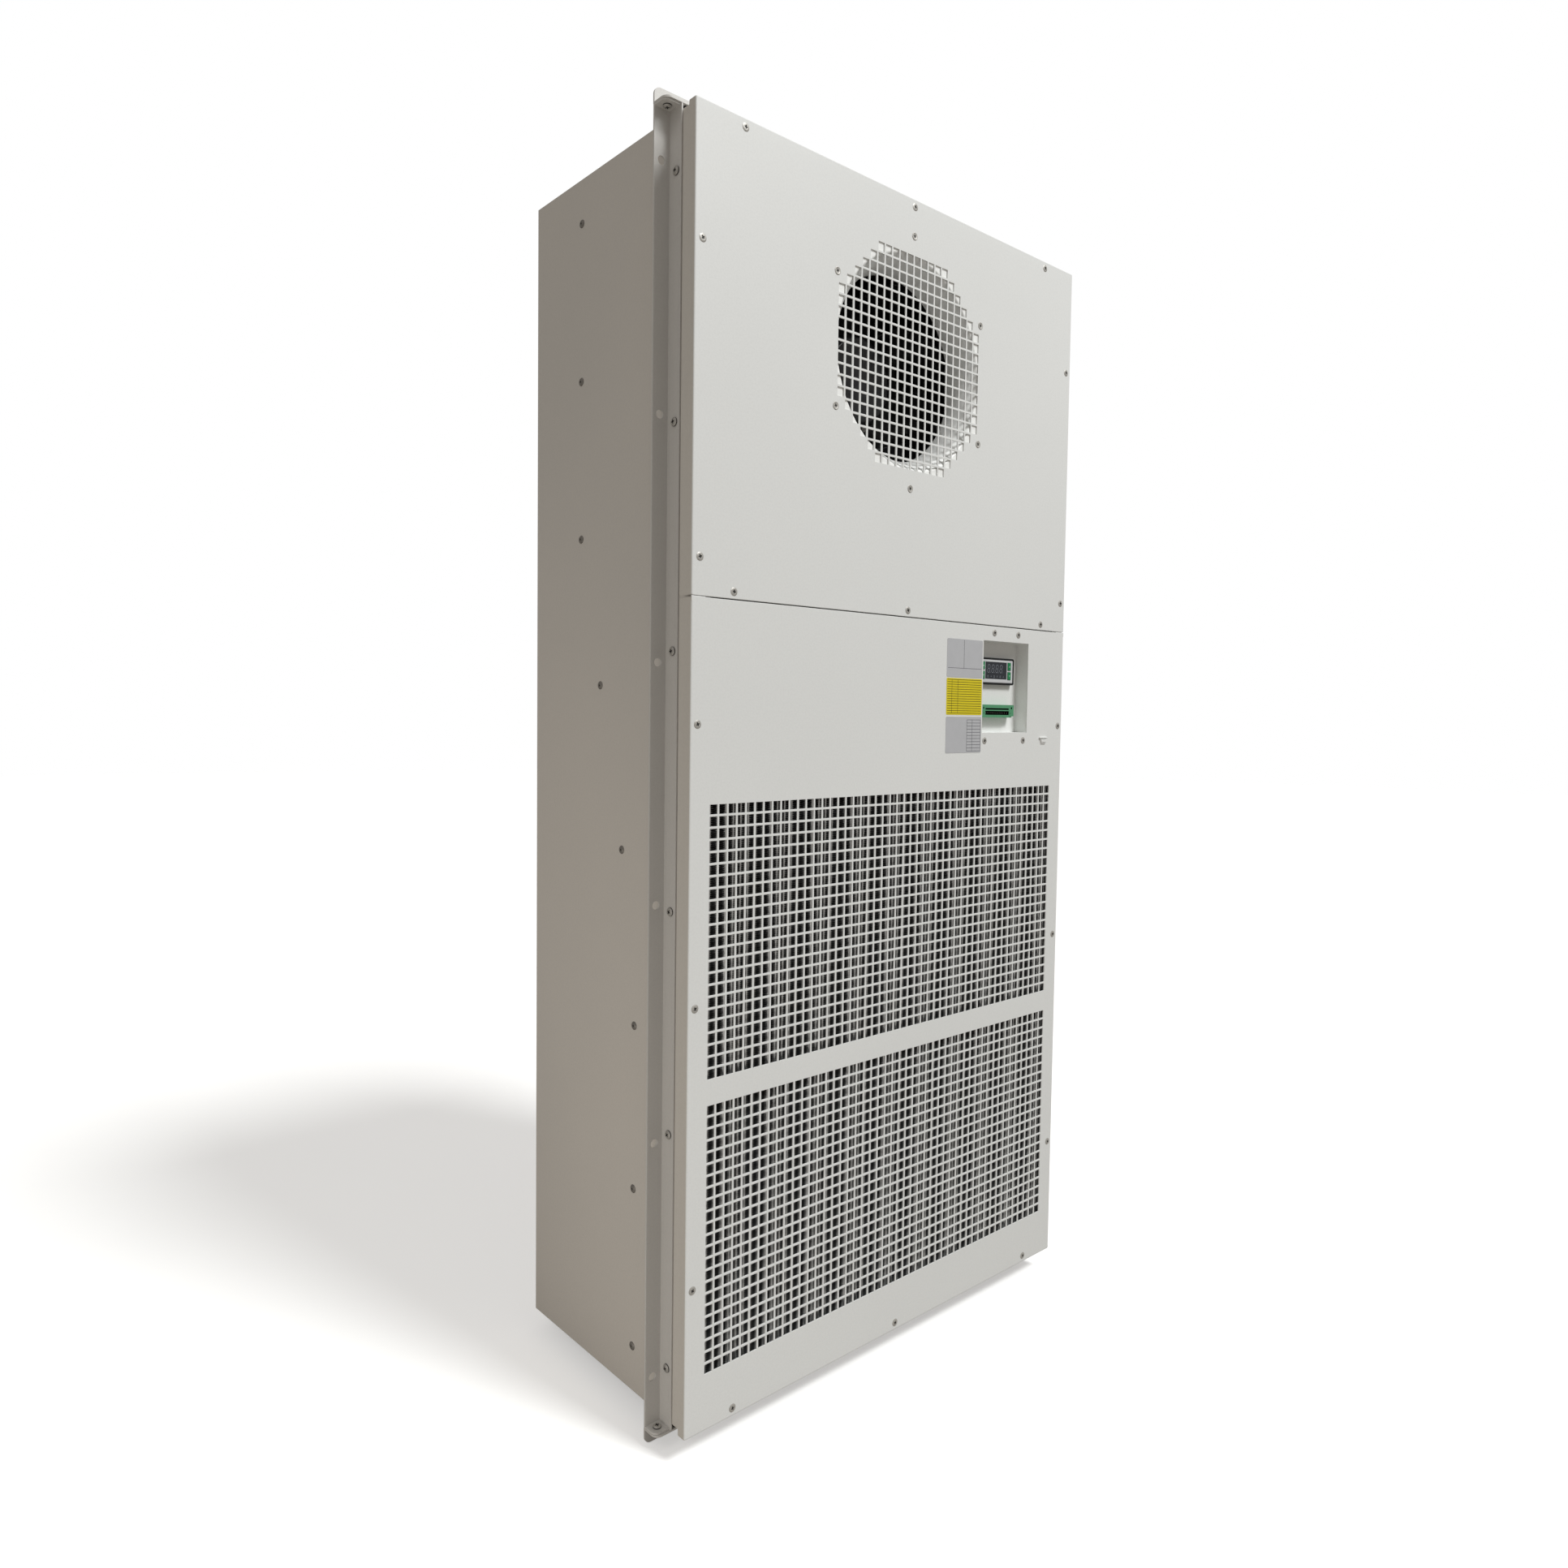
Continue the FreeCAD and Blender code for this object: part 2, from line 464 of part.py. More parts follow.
PUMP_Y, PUMP_Z0, PUMP_Z1, PUMP_R = 190.0, 400.0, 520.0, 40.0
rear_y, rear_ym = BODY_Y1 - HEAD_Y1, BODY_Y1 - HEAD_YM
parts["liquid_pipes"] = Part.makeCompound([one(pipe([(HEAD_Y1, 33), (PUMP_Y, 33), (PUMP_Y, PUMP_Z0 - 12)], 30)),
                                           one(pipe([(PUMP_Y, PUMP_Z1 + 12), (PUMP_Y, 588), (rear_ym, 588), (rear_ym, 651)], 30))])
parts["vapour_pipe"] = pipe([(rear_y, 1322), (242, 1322), (242, 760), (100, 760), (100, 692), (HEAD_Y1, 692)], 18)
body = cyl_z(PIPE_X, PUMP_Y, PUMP_R, PUMP_Z0, PUMP_Z1)
body = body.makeFillet(6.0, [e for e in body.Edges if e.BoundBox.ZLength < 0.01 and e.BoundBox.XLength > 70])
pump = fuse(body, cyl_z(PIPE_X, PUMP_Y, 11, PUMP_Z0 - 12, PUMP_Z0 + 1), cyl_z(PIPE_X, PUMP_Y, 11, PUMP_Z1 - 1, PUMP_Z1 + 12),
            cyl_z(PIPE_X, PUMP_Y, PUMP_R + 4, 455, 461))
parts["circulation_pump"] = pump
shelf = fuse(box(PIPE_X - 50, PIPE_X + 50, pl + SHEET, pl + 2 * SHEET, 378, 480),
             box(PIPE_X - 50, PIPE_X + 50, pl + 2 * SHEET, PUMP_Y + 46, PUMP_Z0 - SHEET, PUMP_Z0))
parts["pump_bracket"] = cut(shelf, [cyl_z(PIPE_X, PUMP_Y, 11.5, PUMP_Z0 - 5, PUMP_Z0 + 2)])


# ---------------------------------------------------------------- fans
def inlet_ring():
    r = turned_y([(156, 1.5), (156, 2.7), (126.4, 2.7), (112.6, 26), (109.8, 32), (109.8, 36),
                  (108.6, 36), (108.6, 31.6), (111.2, 25.5), (125.0, 1.5)], 0, FAN_Z)
    return cut(r, [cyl_y(x, FAN_Z + z, 2.6, 0, 5) for x, z in RING_SCREWS])


def impeller():
    back = turned_y([(57, 122), (155, 122), (155, 125), (57, 125)], 0, FAN_Z)
    shroud = turned_y([(113, 33.5), (115, 33.5), (115, 39.3), (121.4, 46.2), (135.8, 53.9), (155.3, 60),
                       (155, 62), (135, 56), (120, 48), (113, 40)], 0, FAN_Z)
    region = turned_y([(88, 66), (112, 46), (120.7, 47.1), (135.4, 55.0), (153.0, 60.4), (153.0, 123.5), (88, 123.5)], 0, FAN_Z)
    n = 7
    blades = []
    for j in range(n):
        outer, inner = [], []
        for s in range(11):
            t = s / 10.0
            r = 92 + 59.5 * t
            a = 2 * math.pi * j / n - 0.95 * t - 0.12 * math.sin(math.pi * t)
            da = 1.25 / r / 0.75
            outer.append((r * math.cos(a + da), FAN_Z + r * math.sin(a + da)))
            inner.append((r * math.cos(a - da), FAN_Z + r * math.sin(a - da)))
        blades.append(prism_y(outer + inner[::-1], 40, 124).common(region))
    out = back.fuse(shroud)
    for bl in blades:
        out = out.fuse(bl)
    return cut(out, [cyl_y(64.5 * math.cos(a), FAN_Z + 64.5 * math.sin(a), 2.2, 118, 130) for a in
                     (math.pi / 4 + k * math.pi / 2 for k in range(4))])


def rotor():
    r = turned_y([(0, 84), (50, 84), (56, 89), (56, 125), (72, 125), (72, 128), (52, 128), (52, 88), (8, 88), (8, 140), (0, 140)], 0, FAN_Z)
    return cut(r, [cyl_y(64.5 * math.cos(a), FAN_Z + 64.5 * math.sin(a), 2.2, 118, 130) for a in
                   (math.pi / 4 + k * math.pi / 2 for k in range(4))])


def impeller_screws():
    out = []
    for k in range(4):
        a = math.pi / 4 + k * math.pi / 2
        x, z = 64.5 * math.cos(a), FAN_Z + 64.5 * math.sin(a)
        out.append(turned_y([(0, 119.8), (3.2, 119.8), (3.6, 120.4), (3.6, 122), (2.0, 122), (2.0, 130), (0, 130)], x, z))
    return Part.makeCompound(out)


def stator():
    s = turned_y([(8.05, 91), (51.3, 91), (51.3, 124), (40, 124), (40, 134), (75, 134), (75, 142), (8.05, 142)], 0, FAN_Z)
    return cut(s, [cyl_y(62 * math.cos(a), FAN_Z + 62 * math.sin(a), 2.6, 133, 143) for a in
                   (math.pi / 4 + k * math.pi / 2 for k in range(4))])


def bracket(y_end):
    plate = box(-110, 110, 142, 144.5, FAN_Z - 80, FAN_Z + 80)
    b = fuse(plate, box(107.5, 110, 144.5, y_end, FAN_Z - 80, FAN_Z + 80), box(-110, -107.5, 144.5, y_end, FAN_Z - 80, FAN_Z + 80),
             box(110, 135, y_end - 2.5, y_end, FAN_Z - 80, FAN_Z + 80), box(-135, -110, y_end - 2.5, y_end, FAN_Z - 80, FAN_Z + 80))
    return cut(b, [cyl_y(62 * math.cos(a), FAN_Z + 62 * math.sin(a), 2.6, 140, 147) for a in
                   (math.pi / 4 + k * math.pi / 2 for k in range(4))] + [cyl_y(0, FAN_Z, 12, 140, 147)])


def motor_screws():
    out = []
    for k in range(4):
        a = math.pi / 4 + k * math.pi / 2
        x, z = 62 * math.cos(a), FAN_Z + 62 * math.sin(a)
        out.append(turned_y([(0, 135), (2.5, 135), (2.5, 144.5), (4.6, 144.5), (4.6, 146.6), (3.6, 147.4), (0, 147.4)], x, z))
    return out


ring, imp, rot, sta, scr = inlet_ring(), impeller(), rotor(), stator(), impeller_screws()
parts["front_inlet_ring"] = ring
parts["front_fan_impeller"] = imp
parts["front_fan_rotor"] = rot
parts["front_fan_stator"] = sta
parts["front_fan_bracket"] = bracket(pu)
parts["front_impeller_screws"] = scr
parts["rear_inlet_ring"] = turn_half(ring)
parts["rear_fan_impeller"] = turn_half(imp)
parts["rear_fan_rotor"] = turn_half(rot)
parts["rear_fan_stator"] = turn_half(sta)
parts["rear_fan_bracket"] = turn_half(bracket(BODY_Y1 - pl - SHEET))
parts["rear_impeller_screws"] = turn_half(scr)
ms = motor_screws()
parts["fan_motor_screws"] = Part.makeCompound(ms + [turn_half(m) for m in ms])

# ---------------------------------------------------------------- control recess
tray = box(REC_X0 - TRAY_T, REC_X1 + TRAY_T, SHEET, REC_Y + TRAY_T, REC_Z0 - TRAY_T, REC_Z1 + TRAY_T)
tray = tray.fuse(box(138, 253, SHEET, SHEET + TRAY_T, 713, 866.5))
tray = tray.cut(box(REC_X0, REC_X1, 0, REC_Y, REC_Z0, REC_Z1)).removeSplitter()
BZ_X0, BZ_X1, BZ_Z0, BZ_Z1, BZ_Y = 155.0, 232.0, 794.8, 829.8, 14.0
HD_X0, HD_X1, HD_Z0, HD_Z1, HD_Y = 158.5, 226.0, 751.7, 768.3, 8.5
tray = cut(tray, [cyl_y(x, z, CLEAR_R, 0, 5) for x, z in RECESS_SCREWS]
           + [box(158, 229, 18, 22, 797.8, 826.8), box(161.5, 223, 18, 22, 753.5, 766.5)])
parts["recess_tray"] = tray

WIN = (170.5, 216.5, 802.0, 824.4)
KEYS = {"button_up": (218.2, 224.8, 814.2, 824.2), "button_down": (218.2, 224.8, 801.8, 811.8),
        "button_set": (162.2, 168.8, 814.2, 824.2), "button_back": (162.2, 168.8, 801.8, 811.8)}
bezel = box(BZ_X0, BZ_X1, BZ_Y, REC_Y, BZ_Z0, BZ_Z1)
bezel = bezel.makeFillet(2.0, [e for e in bezel.Edges if e.BoundBox.YLength > 3])
bezel = bezel.makeChamfer(0.9, [e for e in bezel.Edges if abs(e.BoundBox.YMax - BZ_Y) < 0.01])
bezel = cut(bezel, [box(WIN[0], WIN[1], BZ_Y - 1, REC_Y + 1, WIN[2], WIN[3])]
            + [box(a - 0.35, b + 0.35, BZ_Y - 1, REC_Y + 1, c - 0.35, d + 0.35) for a, b, c, d in KEYS.values()])
parts["controller_bezel"] = bezel
parts["display_window"] = box(WIN[0], WIN[1], BZ_Y + 0.4, BZ_Y + 2.0, WIN[2], WIN[3])
for k, (a, b, c, d) in KEYS.items():
    key = box(a, b, BZ_Y - 0.8, BZ_Y + 3.4, c, d)
    key = key.makeFillet(0.5, [e for e in key.Edges if abs(e.BoundBox.YMax - (BZ_Y - 0.8)) < 0.01])
    parts[k] = key
parts["controller_housing"] = box(158.3, 228.7, REC_Y, 74, 798.1, 826.5)

head = box(HD_X0, HD_X1, HD_Y, REC_Y, HD_Z0, HD_Z1)
head = head.fuse(box(162, 222.5, REC_Y, 27, 754, 766)).removeSplitter()
cav = (164.9, 215.7, 755.0, 760.2)
head = cut(head, [box(cav[0], cav[1], HD_Y - 1, HD_Y + 8.4, cav[2], cav[3]),
                  box(165.2, 215.4, HD_Y - 1, HD_Y + 6.0, 761.7, 763.8),
                  box(217.8, HD_X1 + 1, HD_Y - 1, HD_Y + 3.2, HD_Z0 - 1, 753.4),
                  cyl_y(221.2, 764.0, 1.5, HD_Y - 1, HD_Y + 6), cyl_y(161.2, 764.0, 1.3, HD_Y - 1, HD_Y + 6),
                  cyl_y(218.6, 757.2, 0.7, HD_Y - 1, HD_Y + 4), cyl_y(161.6, 757.2, 0.7, HD_Y - 1, HD_Y + 4)])
parts["terminal_header"] = head
pins = []
for i in range(10):
    x = cav[0] + 2.54 + 5.08 * i
    pins.append(box(x - 0.5, x + 0.5, HD_Y + 1.6, HD_Y + 8.4, 757.1, 758.1))
parts["terminal_pins"] = Part.makeCompound(pins)

# electrical box behind the lower cover, hung from the cross rail
eb = box(-125, 105, 24, 81.2, 725, 885.2).cut(box(-123.8, 103.8, 20, 80, 726.2, 884.0))
eb = fuse(eb, box(-125, 105, 3.0, 24, 884.0, 885.2), box(-125, 105, 3.0, 4.5, 885.2, 892.5))
parts["electrical_box"] = eb
parts["electrical_box_lid"] = box(-125, 105, 22.7, 24, 725, 884.0)
pcb = box(-112, 92, 67, 68.6, 738, 858)
board = [pcb]
board += [box(-100, -70, 45, 67, 750, 790), box(-60, -36, 51, 67, 752, 782), box(-28, -4, 51, 67, 752, 782),
          box(20, 80, 55, 67, 800, 845), cyl_y(-85, 825, 11, 43, 67), cyl_y(-55, 825, 11, 43, 67), box(10, 84, 57, 67, 744, 756)]
board += [cyl_y(x, z, 3, 68.6, 80) for x in (-106, 86) for z in (744, 852)]
parts["control_board"] = Part.makeCompound(board)

# ---------------------------------------------------------------- labels (blank)
parts["labels_grey"] = Part.makeCompound([box(74.5, 145, -0.25, 0, 801.2, 849), box(74.5, 145, -0.25, 0, 706.6, 752)])
parts["label_yellow"] = box(74.5, 145, -0.25, 0, 754.4, 800)


# ---------------------------------------------------------------- fasteners
def cover_screw(x, z, y_end, y0=0.0, sign=1):
    prof = [(0, -0.9), (2.2, -0.8), (3.9, -0.4), (SCREW_HEAD_R, 0), (SCREW_R, 0), (SCREW_R, y_end), (0, y_end)]
    return turned_y([(r, y0 + sign * t) for r, t in prof], x, z)


parts["cover_screws"] = Part.makeCompound([cover_screw(x, z, 10.0) for x, z in UPPER_SCREWS + LOWER_SCREWS]
                                          + [cover_screw(x, z, 8.0) for x, z in RECESS_SCREWS])
parts["fan_ring_screws"] = Part.makeCompound(
    [cover_screw(x, FAN_Z + z, 8.0) for x, z in RING_SCREWS]
    + [cover_screw(x, rear_fan_z + z, 8.0, BODY_Y1, -1) for x, z in RING_SCREWS])


def pan(axis_pt, d, head_r=4.6, head_h=2.4, shank=10.0, r=SCREW_R):
    """Pan-head screw: the head stands on axis_pt against direction d, the shank runs along d."""
    h = Part.makeCylinder(head_r, head_h, axis_pt - d * head_h, d)
    h = h.makeFillet(1.2, [e for e in h.Edges if e.BoundBox.DiagonalLength > 1 and
                           abs((e.CenterOfMass - (axis_pt - d * head_h)).dot(d)) < 0.01 and len(e.Vertexes) == 1])
    return h.fuse(Part.makeCylinder(r, shank, axis_pt, d)).removeSplitter()


parts["rail_screws"] = Part.makeCompound(
    [pan(V(s * (BODY_X + LEG_T), RAIL_SCREW_Y, z), V(-s, 0, 0), shank=6.5) for s in (-1, 1) for z in RAIL_SCREW_Z])
parts["corner_screws"] = Part.makeCompound(
    [pan(V(s * CORNER_X, CORNER_Y, END_Z0 + LEG_T), V(0, 0, -1), shank=10.0) for s in (-1, 1)]
    + [pan(V(s * CORNER_X, CORNER_Y, END_Z1 - LEG_T), V(0, 0, 1), shank=10.0) for s in (-1, 1)])
parts["side_rivets"] = Part.makeCompound(
    [pan(V(s * BODY_X, y, z), V(-s, 0, 0), head_r=4.6, head_h=1.7, shank=5.5, r=2.0) for s in (-1, 1) for y, z in RIVETS])

# ---------------------------------------------------------------- export
os.makedirs("parts", exist_ok=True)
for name, shape in parts.items():
    s = one(shape).copy()
    s.translate(V(0, -FLANGE_Y1, -MID_Z))
    ok = s.isValid()
    print("%-26s solids %3d faces %5d volume %11.1f valid %s" % (name, len(s.Solids), len(s.Faces), s.Volume, ok))
    s.exportStep("parts/%s.step" % name)
print(len(parts), "nodes")
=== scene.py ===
import bpy
import bmesh
import math
import random
from mathutils import Matrix, Vector


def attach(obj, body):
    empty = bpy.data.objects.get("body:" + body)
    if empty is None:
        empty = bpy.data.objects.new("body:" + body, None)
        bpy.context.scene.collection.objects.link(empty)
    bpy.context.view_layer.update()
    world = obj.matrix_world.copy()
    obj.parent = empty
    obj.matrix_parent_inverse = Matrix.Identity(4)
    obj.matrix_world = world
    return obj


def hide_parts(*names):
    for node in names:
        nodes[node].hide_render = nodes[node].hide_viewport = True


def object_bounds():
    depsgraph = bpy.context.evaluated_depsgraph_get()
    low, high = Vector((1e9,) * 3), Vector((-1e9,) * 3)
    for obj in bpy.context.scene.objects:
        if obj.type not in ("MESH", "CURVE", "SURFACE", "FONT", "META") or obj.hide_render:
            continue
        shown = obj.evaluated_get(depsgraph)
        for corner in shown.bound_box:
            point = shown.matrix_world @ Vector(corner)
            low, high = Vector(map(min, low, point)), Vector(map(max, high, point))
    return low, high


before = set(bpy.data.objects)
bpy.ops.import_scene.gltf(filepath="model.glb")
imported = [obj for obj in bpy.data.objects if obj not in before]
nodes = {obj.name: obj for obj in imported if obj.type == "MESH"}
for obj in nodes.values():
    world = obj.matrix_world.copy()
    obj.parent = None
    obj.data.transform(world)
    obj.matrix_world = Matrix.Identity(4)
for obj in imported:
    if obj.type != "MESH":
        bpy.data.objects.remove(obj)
cad_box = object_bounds()
rng = random.Random(41)

# Working coordinates of the object, millimetres: x right, y from the front face of
# the covers to the rear, z up from the bottom edge of the covers.
Y_OFF, Z_OFF = 57.0, 677.5


def P(x, y, z):
    return (x * 0.001, (y - Y_OFF) * 0.001, (z - Z_OFF) * 0.001)


# ------------------------------------------------------------------ materials
def new_mat(name):
    m = bpy.data.materials.new(name)
    m.use_nodes = True
    nt = m.node_tree
    return m, nt, nt.nodes["Principled BSDF"]


def coords(nt, scale=(1, 1, 1)):
    tc = nt.nodes.new("ShaderNodeTexCoord")
    mp = nt.nodes.new("ShaderNodeMapping")
    mp.inputs["Scale"].default_value = scale
    nt.links.new(tc.outputs["Object"], mp.inputs["Vector"])
    return mp.outputs["Vector"]


def noise(nt, vec, scale, detail=2.0, rough=0.5):
    n = nt.nodes.new("ShaderNodeTexNoise")
    n.inputs["Scale"].default_value = scale
    n.inputs["Detail"].default_value = detail
    n.inputs["Roughness"].default_value = rough
    nt.links.new(vec, n.inputs["Vector"])
    return n.outputs["Fac"]


def ramp(nt, fac, stops):
    r = nt.nodes.new("ShaderNodeValToRGB")
    e = r.color_ramp.elements
    while len(e) < len(stops):
        e.new(0.5)
    for el, (p, c) in zip(e, stops):
        el.position = p
        el.color = (c[0], c[1], c[2], 1)
    nt.links.new(fac, r.inputs["Fac"])
    return r.outputs["Color"]


def span(nt, fac, lo, hi, a=0.3, b=0.7):
    m = nt.nodes.new("ShaderNodeMapRange")
    m.inputs["From Min"].default_value = a
    m.inputs["From Max"].default_value = b
    m.inputs["To Min"].default_value = lo
    m.inputs["To Max"].default_value = hi
    nt.links.new(fac, m.inputs["Value"])
    return m.outputs["Result"]


def bump(nt, bsdf, height, strength, dist, normal=None):
    b = nt.nodes.new("ShaderNodeBump")
    b.inputs["Strength"].default_value = strength
    b.inputs["Distance"].default_value = dist
    nt.links.new(height, b.inputs["Height"])
    if normal is not None:
        nt.links.new(normal, b.inputs["Normal"])
    nt.links.new(b.outputs["Normal"], bsdf.inputs["Normal"])
    return b.outputs["Normal"]


def scaled(c, k):
    return tuple(min(1.0, v * k) for v in c)


def paint(name, col, vary=0.02, rough=(0.42, 0.52), grain=1500.0, strength=0.10, warm=0.0):
    """Fine-textured powder coat: orange-peel grain, slow tone drift and handling marks."""
    m, nt, b = new_mat(name)
    v = coords(nt)
    drift = noise(nt, v, 2.3, 3.0)
    c = ramp(nt, drift, [(0.3, scaled(col, 1 - vary)), (0.7, (min(1, col[0] * (1 + vary)), min(1, col[1] * (1 + vary * (1 - warm))),
                                                            min(1, col[2] * (1 + vary * (1 - 2 * warm)))))])
    speck = noise(nt, v, 420.0, 2.0)
    mix = nt.nodes.new("ShaderNodeMixRGB")
    mix.blend_type = "MULTIPLY"
    mix.inputs["Fac"].default_value = 1.0
    nt.links.new(c, mix.inputs["Color1"])
    nt.links.new(ramp(nt, speck, [(0.35, (0.972,) * 3), (0.6, (1.0,) * 3)]), mix.inputs["Color2"])
    nt.links.new(mix.outputs["Color"], b.inputs["Base Color"])
    hand = noise(nt, v, 7.0, 4.0, 0.6)
    nt.links.new(span(nt, hand, rough[0], rough[1]), b.inputs["Roughness"])
    b.inputs["Specular IOR Level"].default_value = 0.42
    g = noise(nt, v, grain, 2.0, 0.55)
    bump(nt, b, g, strength, 0.00018)
    return m


def metal(name, col, rough=(0.25, 0.42), streak=(1, 1, 1), scale=60.0, vary=0.10, bump_d=0.00005, metallic=1.0):
    m, nt, b = new_mat(name)
    v = coords(nt, streak)
    n = noise(nt, v, scale, 4.0, 0.6)
    nt.links.new(ramp(nt, n, [(0.3, scaled(col, 1 - vary)), (0.7, scaled(col, 1 + vary))]), b.inputs["Base Color"])
    n2 = noise(nt, v, scale * 2.7, 3.0, 0.6)
    nt.links.new(span(nt, n2, rough[0], rough[1]), b.inputs["Roughness"])
    b.inputs["Metallic"].default_value = metallic
    bump(nt, b, n2, 0.25, bump_d)
    return m


def plastic(name, col, rough=(0.35, 0.5), grain=1800.0, vary=0.08, strength=0.12, coat=0.0, spec=0.5):
    m, nt, b = new_mat(name)
    v = coords(nt)
    n = noise(nt, v, 90.0, 3.0)
    nt.links.new(ramp(nt, n, [(0.3, scaled(col, 1 - vary)), (0.7, scaled(col, 1 + vary))]), b.inputs["Base Color"])
    n2 = noise(nt, v, 35.0, 3.0)
    nt.links.new(span(nt, n2, rough[0], rough[1]), b.inputs["Roughness"])
    b.inputs["Specular IOR Level"].default_value = spec
    if coat:
        b.inputs["Coat Weight"].default_value = coat
        b.inputs["Coat Roughness"].default_value = 0.08
    bump(nt, b, noise(nt, v, grain, 2.0), strength, 0.0001)
    return m


M_COVER = paint("cover_paint", (0.770, 0.777, 0.766), vary=0.014, grain=760.0, strength=0.16)
# cabinet paint, darker and warmer than the cover's; part of that is painted shade and warm ambient light on the shaded
# side panels
M_BODY_SHADED = paint("cabinet_paint", (0.685, 0.655, 0.610), vary=0.03, grain=1300.0, strength=0.14, rough=(0.40, 0.54), warm=0.3)
M_FLANGE = paint("flange_paint", (0.66, 0.645, 0.62), vary=0.025, rough=(0.34, 0.48), strength=0.08)
M_GALV = metal("galvanised", (0.58, 0.585, 0.59), rough=(0.32, 0.55), scale=34.0, vary=0.12)
M_TUBE = metal("tube_aluminium", (0.84, 0.845, 0.85), rough=(0.26, 0.40), streak=(30, 30, 1), scale=14.0, vary=0.06)


def fin_material():
    """Fin strip: dark over the gap, with a painted highlight on the folds beside the tubes, where the crests catch the
    light.
    """
    m, nt, b = new_mat("fin_strip")
    tc = nt.nodes.new("ShaderNodeTexCoord")
    sep = nt.nodes.new("ShaderNodeSeparateXYZ")
    nt.links.new(tc.outputs["Object"], sep.inputs["Vector"])
    sh = nt.nodes.new("ShaderNodeMath")
    sh.operation = "ADD"
    sh.inputs[1].default_value = 0.3135
    nt.links.new(sep.outputs["X"], sh.inputs[0])
    pp = nt.nodes.new("ShaderNodeMath")
    pp.operation = "PINGPONG"
    pp.inputs[1].default_value = 0.005225
    nt.links.new(sh.outputs["Value"], pp.inputs[0])
    # painted highlight: the fin colour is lifted towards light grey close to each tube, standing in for light caught by
    # the fold crests
    fold_highlight = span(nt, pp.outputs["Value"], 1.0, 0.0, 0.0021, 0.0030)
    n = noise(nt, tc.outputs["Object"], 160.0, 3.0)
    add = nt.nodes.new("ShaderNodeMath")
    add.operation = "MULTIPLY_ADD"
    add.inputs[1].default_value = 0.25
    nt.links.new(n, add.inputs[0])
    nt.links.new(fold_highlight, add.inputs[2])
    nt.links.new(ramp(nt, add.outputs["Value"], [(0.05, (0.050, 0.052, 0.055)), (0.25, (0.078, 0.080, 0.083)), (1.0, (0.52, 0.52, 0.51))]),
                 b.inputs["Base Color"])
    nt.links.new(span(nt, n, 0.36, 0.52), b.inputs["Roughness"])
    b.inputs["Metallic"].default_value = 0.35
    return m


M_FIN = fin_material()
M_COPPER = metal("copper", (0.80, 0.45, 0.29), rough=(0.22, 0.42), scale=40.0, vary=0.12)
M_PUMP = plastic("pump_coat", (0.045, 0.048, 0.055), rough=(0.34, 0.5))
M_FAN = plastic("fan_black", (0.013, 0.013, 0.0145), rough=(0.34, 0.5), vary=0.15, spec=0.4)
M_ROTOR = plastic("rotor_black", (0.016, 0.016, 0.018), rough=(0.3, 0.45), vary=0.15, coat=0.2)
M_STATOR = metal("motor_cast", (0.50, 0.51, 0.52), rough=(0.4, 0.6), scale=160.0)
# painted light: the inlet bells are the cover's white paint made lighter, brightening the shaded bell behind the grille
M_BELL_LIT = paint("bell_painted_light", (0.92, 0.925, 0.91), vary=0.014, grain=900.0, strength=0.08)
# recess tray: a lighter paint than the cover's; part of that lightness is painted light brightening the shaded recess
M_TRAY_LIT = paint("recess_paint_and_light", (0.835, 0.842, 0.83), vary=0.014, grain=760.0, strength=0.12)
# painted shade: a darker, warmer copy of the cover paint for the side-facing return folds, standing in for their shade
# and warm ambient light
M_RETURN_SHADE = paint("return_painted_shade", (0.665, 0.635, 0.585), vary=0.025, grain=760.0, strength=0.14)
M_SCREW = metal("zinc_head", (0.50, 0.485, 0.455), rough=(0.42, 0.58), scale=700.0, vary=0.12, metallic=0.5)
M_RIVET = metal("rivet_head", (0.27, 0.255, 0.235), rough=(0.38, 0.55), scale=700.0, vary=0.14, metallic=0.6)
M_SCREW_DARK = metal("zinc_shadow", (0.045, 0.044, 0.042), rough=(0.5, 0.7), scale=700.0, vary=0.2, metallic=0.3)
M_FOAM = plastic("seal_strip", (0.060, 0.060, 0.061), rough=(0.75, 0.92), grain=900.0, strength=0.6)
M_RUBBER = plastic("seal_foam", (0.022, 0.022, 0.023), rough=(0.75, 0.92), grain=900.0, strength=0.6)
M_BEZEL = plastic("bezel_black", (0.010, 0.0105, 0.012), rough=(0.38, 0.52), vary=0.12, spec=0.35)
M_FACE = plastic("bezel_silver", (0.60, 0.61, 0.625), rough=(0.34, 0.46), vary=0.03, grain=2600.0, strength=0.06)
M_WINDOW = plastic("display_smoked", (0.016, 0.020, 0.029), rough=(0.12, 0.20), vary=0.12, coat=0.4, strength=0.01)
M_SEGMENT = plastic("segment_unlit", (0.21, 0.225, 0.26), rough=(0.25, 0.35), vary=0.06, strength=0.02)
M_KEY = plastic("key_green", (0.010, 0.200, 0.070), rough=(0.30, 0.42), vary=0.07)
M_KEYMARK = plastic("key_mark", (0.50, 0.70, 0.55), rough=(0.35, 0.45), vary=0.05)
M_HEADER = plastic("header_green", (0.085, 0.300, 0.155), rough=(0.34, 0.48), vary=0.06, grain=1500.0)
M_HEADER_IN = plastic("header_shadow", (0.004, 0.009, 0.006), rough=(0.6, 0.75), vary=0.12, spec=0.2)
M_PIN = metal("pin_tinned", (0.78, 0.77, 0.74), rough=(0.2, 0.35), scale=900.0)
M_BOARD = plastic("board_green", (0.02, 0.12, 0.06), rough=(0.28, 0.42), vary=0.2, coat=0.3)
